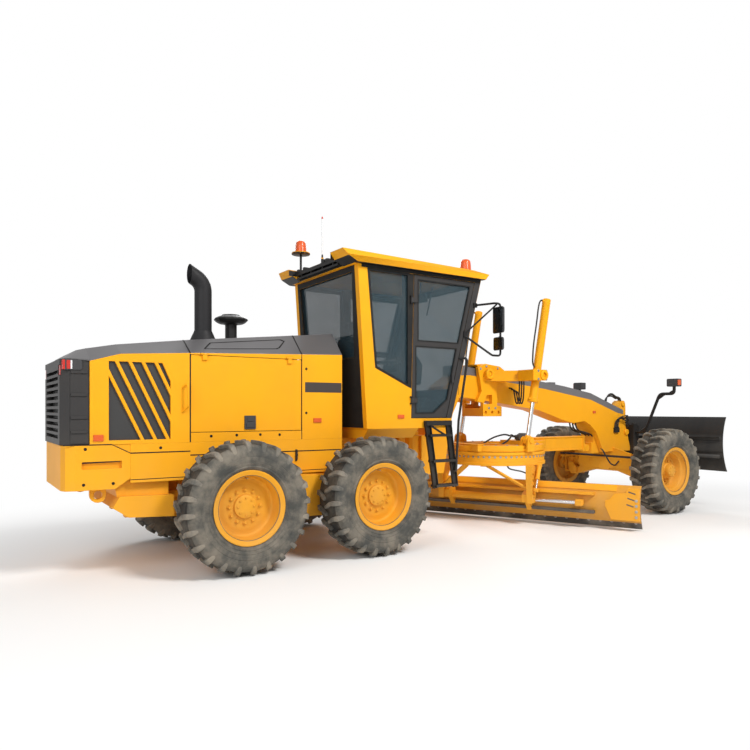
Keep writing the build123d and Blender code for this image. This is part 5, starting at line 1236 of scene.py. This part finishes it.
for n, y in enumerate((-0.06, 0.0, 0.06)):
    hose(f"arch_hose_{n}", [(6.16, y, 1.439), (6.16, y, 1.37), (6.23, y, 1.29), (6.4, y, 1.26),
        (6.56, y * 1.1, 1.215), (6.62, y * 1.1, 1.14 + 0.02 * n), (6.662, y * 1.1, 1.1)], 0.013, "front_body")
Work().box((6.455, 6.52), (-0.182, -0.1703), (1.578, 1.618)).object("frame_marker", lens_orange, "front_body")
for hand, side in HANDS:
    frame_tube(f"lamp_tube_{hand}", [(7.5, side * 0.2, 1.25), (7.5, side * 0.42, 1.25),
        (7.5, side * 0.7, 1.9), (7.5, side * 0.96, 1.9), (7.5, side * 0.96, 2.021)], 0.09, 0.025, black_paint,
        "front_body")
    Work().prism([(side * y, z) for y, z in ((0.866, 2.028), (0.88, 2.016), (1.04, 2.016), (1.054, 2.028),
        (1.054, 2.132), (1.04, 2.144), (0.88, 2.144), (0.866, 2.132))], "x", 7.436, 7.556).object(
        f"lamp_housing_{hand}", trim_plastic, "front_body")
    Work().prism([(side * y, z) for y, z in ((0.88, 2.032), (1.04, 2.032), (1.04, 2.128), (0.88, 2.128))],
        "x", 7.555, 7.568).object(f"lamp_glass_front_{hand}", clear_lens, "front_body")
    Work().box((7.444, 7.52), across(side, 1.052, 1.066), (2.036, 2.124)).object(
        f"lamp_marker_{hand}", lens_orange, "front_body")
frame_seams = Work()
for side in (-1, 1):
    frame_seams.box((3.56, 3.566), across(side, 0.1695, 0.1708), (1.85, 2.11))
frame_seams.object("frame_seams", seal_black, "front_body")


# Rear end

for hand, side in HANDS:
    cover = Work()
    cover.flank([(-1.528, 1.312), (-1.366, 1.312), (-1.366, 2.09), (-1.5, 2.062), (-1.528, 2.02)],
        side, 0.5995, 0.6065)
    for z in (1.425, 1.56, 1.775, 1.99):
        cover.flank([(-1.524, z - 0.012), (-1.384, z - 0.012), (-1.374, z), (-1.384, z + 0.014),
            (-1.524, z + 0.014)], side, 0.606, 0.617)
    cover.object(f"grille_side_{hand}", dark_grey)
    Work().flank([(-1.575, 2.01), (-1.44, 2.01), (-1.425, 2.03), (-1.425, 2.095), (-1.44, 2.108),
        (-1.575, 2.108)], side, 0.54, 0.615).object(f"tail_lamp_housing_{hand}", trim_plastic)
    Work().box((-1.596, -1.574), across(side, 0.545, 0.6165), (2.014, 2.104)).object(
        f"tail_lamp_red_{hand}", lens_red)
    Work().box((-1.56, -1.528), across(side, 0.6148, 0.617), (2.018, 2.1)).object(
        f"tail_lamp_side_{hand}", lens_red)
    Work().box((-1.526, -1.512), across(side, 0.6148, 0.617), (2.018, 2.1)).object(
        f"tail_lamp_white_{hand}", clear_lens)
    seams = Work()
    seams.box((-0.4, 1.385), across(side, 0.619, 0.6209), (1.164, 1.176))
    seams.box((-0.99, 1.385), across(side, 0.619, 0.6206), (0.946, 0.954))
    seams.flank([(-1.595, 1.297), (-1.16, 1.295), (-0.985, 1.205), (-0.4, 1.205), (-0.4, 1.217),
        (-0.992, 1.217), (-1.166, 1.306), (-1.595, 1.308)], side, 0.619, 0.6212)
    seams.object(f"skirt_seams_{hand}", seal_black)
    hook = Work()
    hook.box((0.792, 0.812), across(side, 0.619, 0.632), (1.06, 1.19))
    hook.bar((0.802, side * 0.64, 1.185), (0.802, side * 0.64, 1.075), 0.01, 12, 0.003)
    hook.bar((0.79, side * 0.636, 1.13), (0.814, side * 0.636, 1.13), 0.016, 12, 0.003)
    hook.object(f"skirt_hook_{hand}", black_paint)
    Work().flank([(-1.25, 1.19), (-0.96, 1.19), (-0.96, 1.312), (-1.25, 1.312)], side, 0.56, 0.613).object(
        f"bumper_corner_{hand}", yellow)
    # A dark strip along the top of the bumper's recess: painted shade under its lip.
    Work().flank([(-1.428, 1.122), (-1.414, 1.1395), (-1.084, 1.1395), (-1.072, 1.128)], side, 0.579,
        0.5812).object(f"bumper_recess_{hand}", stripe_grey)
copies("bumper_screws", hex_bolt(0.01, 0.008),
    [((u, side * 0.62, z), facing((0, side, 0))) for side in (-1, 1) for u, z in ((-1.4, 1.262),
    (-1.415, 0.925), (-1.15, 0.925), (-0.7, 1.255), (0.3, 1.255))], seal_black, "rear_body")
for hand, side in HANDS:
    corner = Work()
    for u, y, z in ((-1.345, 0.4, 2.235), (-1.45, 0.4, 2.212), (-1.525, 0.4, 2.165), (-1.575, 0.4, 2.119),
            (-1.575, 0.53, 2.119), (-1.52, 0.59, 2.119), (-1.345, 0.6195, 2.101), (-1.345, 0.4, 2.1),
            (-1.575, 0.4, 2.111), (-1.575, 0.53, 2.111), (-1.52, 0.59, 2.111)):
        corner.mesh.verts.new((u, side * y, z))
    bmesh.ops.convex_hull(corner.mesh, input=corner.mesh.verts)
    corner.object(f"hood_corner_{hand}", hood_grey)
Work().box((-1.5495, -1.5), (-0.5395, 0.5395), (1.335, 2.07)).object("radiator_core", louvre_mesh)
bars = Work()
for n in range(12):
    z = 1.345 + 0.062 * n
    bars.prism([(-1.6095, z - 0.01), (-1.59, z - 0.014), (-1.556, z - 0.002), (-1.556, z + 0.004),
        (-1.59, z - 0.006)], "y", -0.428, 0.428)
bars.object("grille_bars", dark_grey)
Work().prism([(-1.15, 0.68), (-1.085, 0.79), (-0.56, 0.775), (-0.56, 0.556), (-1.0, 0.578)],
    "y", -0.6, 0.6).object("rear_underframe", yellow)
Work().prism([(-1.1, 0.78), (-0.6, 0.77), (-0.6, 0.964), (-1.0, 0.964), (-1.12, 0.88)],
    "y", -0.54, 0.54).object("rear_belly", yellow)


# Cab roof, beacons and aerial

MAST_X = 1.408
lining = Work()
lining.box((1.4375, 1.4396), (-0.5585, 0.5585), (3.3403, 3.472))
for side in (-1, 1):
    lining.box((1.278, 1.438), across(side, 0.557, 0.5598), (3.4, 3.47))
    lining.flank([(1.332, 3.3994), (1.45, 3.3398), (1.45, 3.3368), (1.332, 3.3964)], side, 0.56, 0.894)
    lining.box((1.452, 3.418), across(side, 0.8215, 0.894), (3.3372, 3.3399))
lining.object("roof_underside", black_paint)
brackets = Work()
brackets.box((1.385, 1.437), (-0.54, 0.54), (3.352, 3.376))
brackets.box((1.368, 1.447), (-0.567, 0.567), (3.398, 3.4425))
for y in (-0.42, -0.15, 0.15, 0.42):
    brackets.box((1.388, 1.412), (y - 0.012, y + 0.012), (3.372, 3.4))
for y in (-0.3, -0.23, 0.3, 0.47):
    brackets.box((1.362, 1.43), (y - 0.022, y + 0.022), (3.44, 3.474))
brackets.bar((MAST_X, 0.47, 3.441), (MAST_X, 0.47, 3.68), 0.0148, 20, 0.002)
brackets.turned([(0.116, 3.6745), (0.1215, 3.678), (0.1215, 3.69), (0.11, 3.694), (0.08, 3.7005)],
    (MAST_X, 0.47, 0))
brackets.turned([(0.079, 3.415), (0.0795, 3.42), (0.0795, 3.456), (0.074, 3.4626)], (3.235, -0.7, 0))
brackets.turned([(0.026, 3.441), (0.026, 3.452), (0.0165, 3.456), (0.0165, 3.5), (0.012, 3.524),
    (0.009, 3.56)], (MAST_X, -0.12, 0), (0, 0, 1), 24)
brackets.object("roof_brackets", black_paint)
Work().bar((MAST_X, -0.12, 3.54), (MAST_X, -0.12, 4.006), 0.0078, 16, 0.001).object("aerial_rod", clear_lens)
Work().bar((MAST_X, -0.12, 4.002), (MAST_X, -0.12, 4.0299), 0.0105, 16, 0.004).object("aerial_tip", lens_red)
domes = Work()
for x, y, z in ((MAST_X, 0.47, 3.76), (3.235, -0.7, 3.522)):
    domes.lathe([(AXIS_GAP, -0.0595), (0.0735, -0.0595), (0.0735, -0.04), (0.0715, 0.0), (0.0685, 0.04),
        (0.0635, 0.066), (0.0545, 0.082), (0.042, 0.0905), (0.024, 0.0948), (AXIS_GAP, 0.0958)], (x, y, z),
        (0, 0, 1), 56)
domes.object("beacon_domes", lens_orange, angle=50)


# Ladders, rails and mirrors

for hand, side in HANDS:
    ladder = Work()
    for outline in ([(2.44, 1.5), (2.52, 1.5), (2.65, 0.665), (2.64, 0.655), (2.58, 0.655)],
            [(2.775, 1.5), (2.85, 1.5), (2.965, 0.665), (2.955, 0.655), (2.895, 0.655)]):
        ladder.flank(outline, side, 0.838, 0.846)
        for a, b in ((outline[0], outline[-1]), (outline[1], outline[2])):
            ladder.beam((a[0], side * 0.854, a[1]), (b[0], side * 0.854, b[1]), 0.008, 0.034, (0, 1, 0))
    ladder.beam((2.48, side * 0.85, 1.47), (2.8, side * 0.85, 1.3), 0.02, 0.022, (0, 1, 0))
    ladder.box((2.455, 2.86), across(side, 0.8203, 0.876), (1.44, 1.5))
    for u, z in ((2.505, 1.3), (2.555, 0.98), (2.598, 0.67)):
        ladder.prism([(side * 0.775, z), (side * 0.775, z + 0.03), (side * 0.785, z + 0.024),
            (side * 0.785, z + 0.006), (side * 0.885, z + 0.006), (side * 0.885, z + 0.024),
            (side * 0.895, z + 0.03), (side * 0.895, z)], "x", u, u + 0.35)
        ladder.box((u, u + 0.35), across(side, 0.78, 0.89), (z + 0.004, z + 0.02))
    ladder.object(f"ladder_{hand}", black_paint, "rear_body", "access_ladders" if side < 0 else ())
    stud = Work().turned([(0.011, 0), (0.009, 0.01), (0.004, 0.01), (0.004, 0.004)], (0, 0, 0), (0, 0, 1), 8)
    copies(f"tread_studs_{hand}", stud.data("tread_stud"),
        [((u + 0.02 + 0.0282 * k, side * y, z + 0.0195), (0, 0, 0)) for u, z in ((2.505, 1.3), (2.555, 0.98),
        (2.598, 0.67)) for k in range(12) for y in (0.8, 0.835, 0.87)], black_paint, "rear_body")
    frame_tube(f"grab_rail_{hand}", [(3.02, side * 0.82, 2.3), (3.115, side * 0.88, 2.3),
        (2.96, side * 0.885, 1.5), (2.918, side * 0.884, 0.86), (2.9, side * 0.856, 0.85)], 0.05, 0.0155,
        black_paint, "rear_body")
    frame_tube(f"mirror_loop_{hand}", [(3.29, side * 0.822, 3.0), (3.35, side * 1.0, 3.0),
        (3.38, side * 1.1, 3.0), (3.474, side * 1.104, 3.0), (3.474, side * 1.104, 2.33),
        (3.34, side * 1.095, 2.33), (3.12, side * 0.824, 2.59)], 0.045, 0.0135, black_paint, "rear_body")
    arms = Work()
    arms.bar((3.13, side * 0.826, 2.63), (3.42, side * 1.095, 2.99), 0.011, 14, 0.001)
    arms.bar((3.46, side * 1.1, 2.58), (3.46, side * 1.1, 2.42), 0.009, 14, 0.001)
    arms.box((3.095, 3.15), across(side, 0.8185, 0.838), (2.57, 2.65))
    arms.box((3.262, 3.318), across(side, 0.8185, 0.838), (2.972, 3.028))
    arms.object(f"mirror_arms_{hand}", black_paint, "rear_body", "mirror_frames" if side < 0 else ())
    for label, low, high, near, far in (("tall", 2.62, 2.96, 1.0, 1.19), ("small", 2.4, 2.57, 1.01, 1.18)):
        shell = Work()
        r = 0.026
        corners = []
        for cy, cz, start in ((far - r, high - r, 0), (near + r, high - r, 90), (near + r, low + r, 180),
                (far - r, low + r, 270)):
            corners += [(cy + r * math.cos(math.radians(start + 22.5 * k)),
                cz + r * math.sin(math.radians(start + 22.5 * k))) for k in range(5)]
        middle = ((near + far) / 2, (low + high) / 2)
        rings = []
        for u, grow in ((3.44, 1.0), (3.446, 1.0), (3.466, 0.97), (3.478, 0.86), (3.48, 0.7)):
            rings.append([(u, side * (middle[0] + (y - middle[0]) * grow),
                middle[1] + (z - middle[1]) * grow) for y, z in corners])
        shell.skin(rings)
        if label == "tall":
            for n in range(7):
                z = low + 0.04 + n * 0.043
                shell.box((3.462, 3.4798), across(side, near + 0.018, far - 0.018), (z, z + 0.014))
        shell.object(f"mirror_housing_{label}_{hand}", trim_plastic, angle=30)
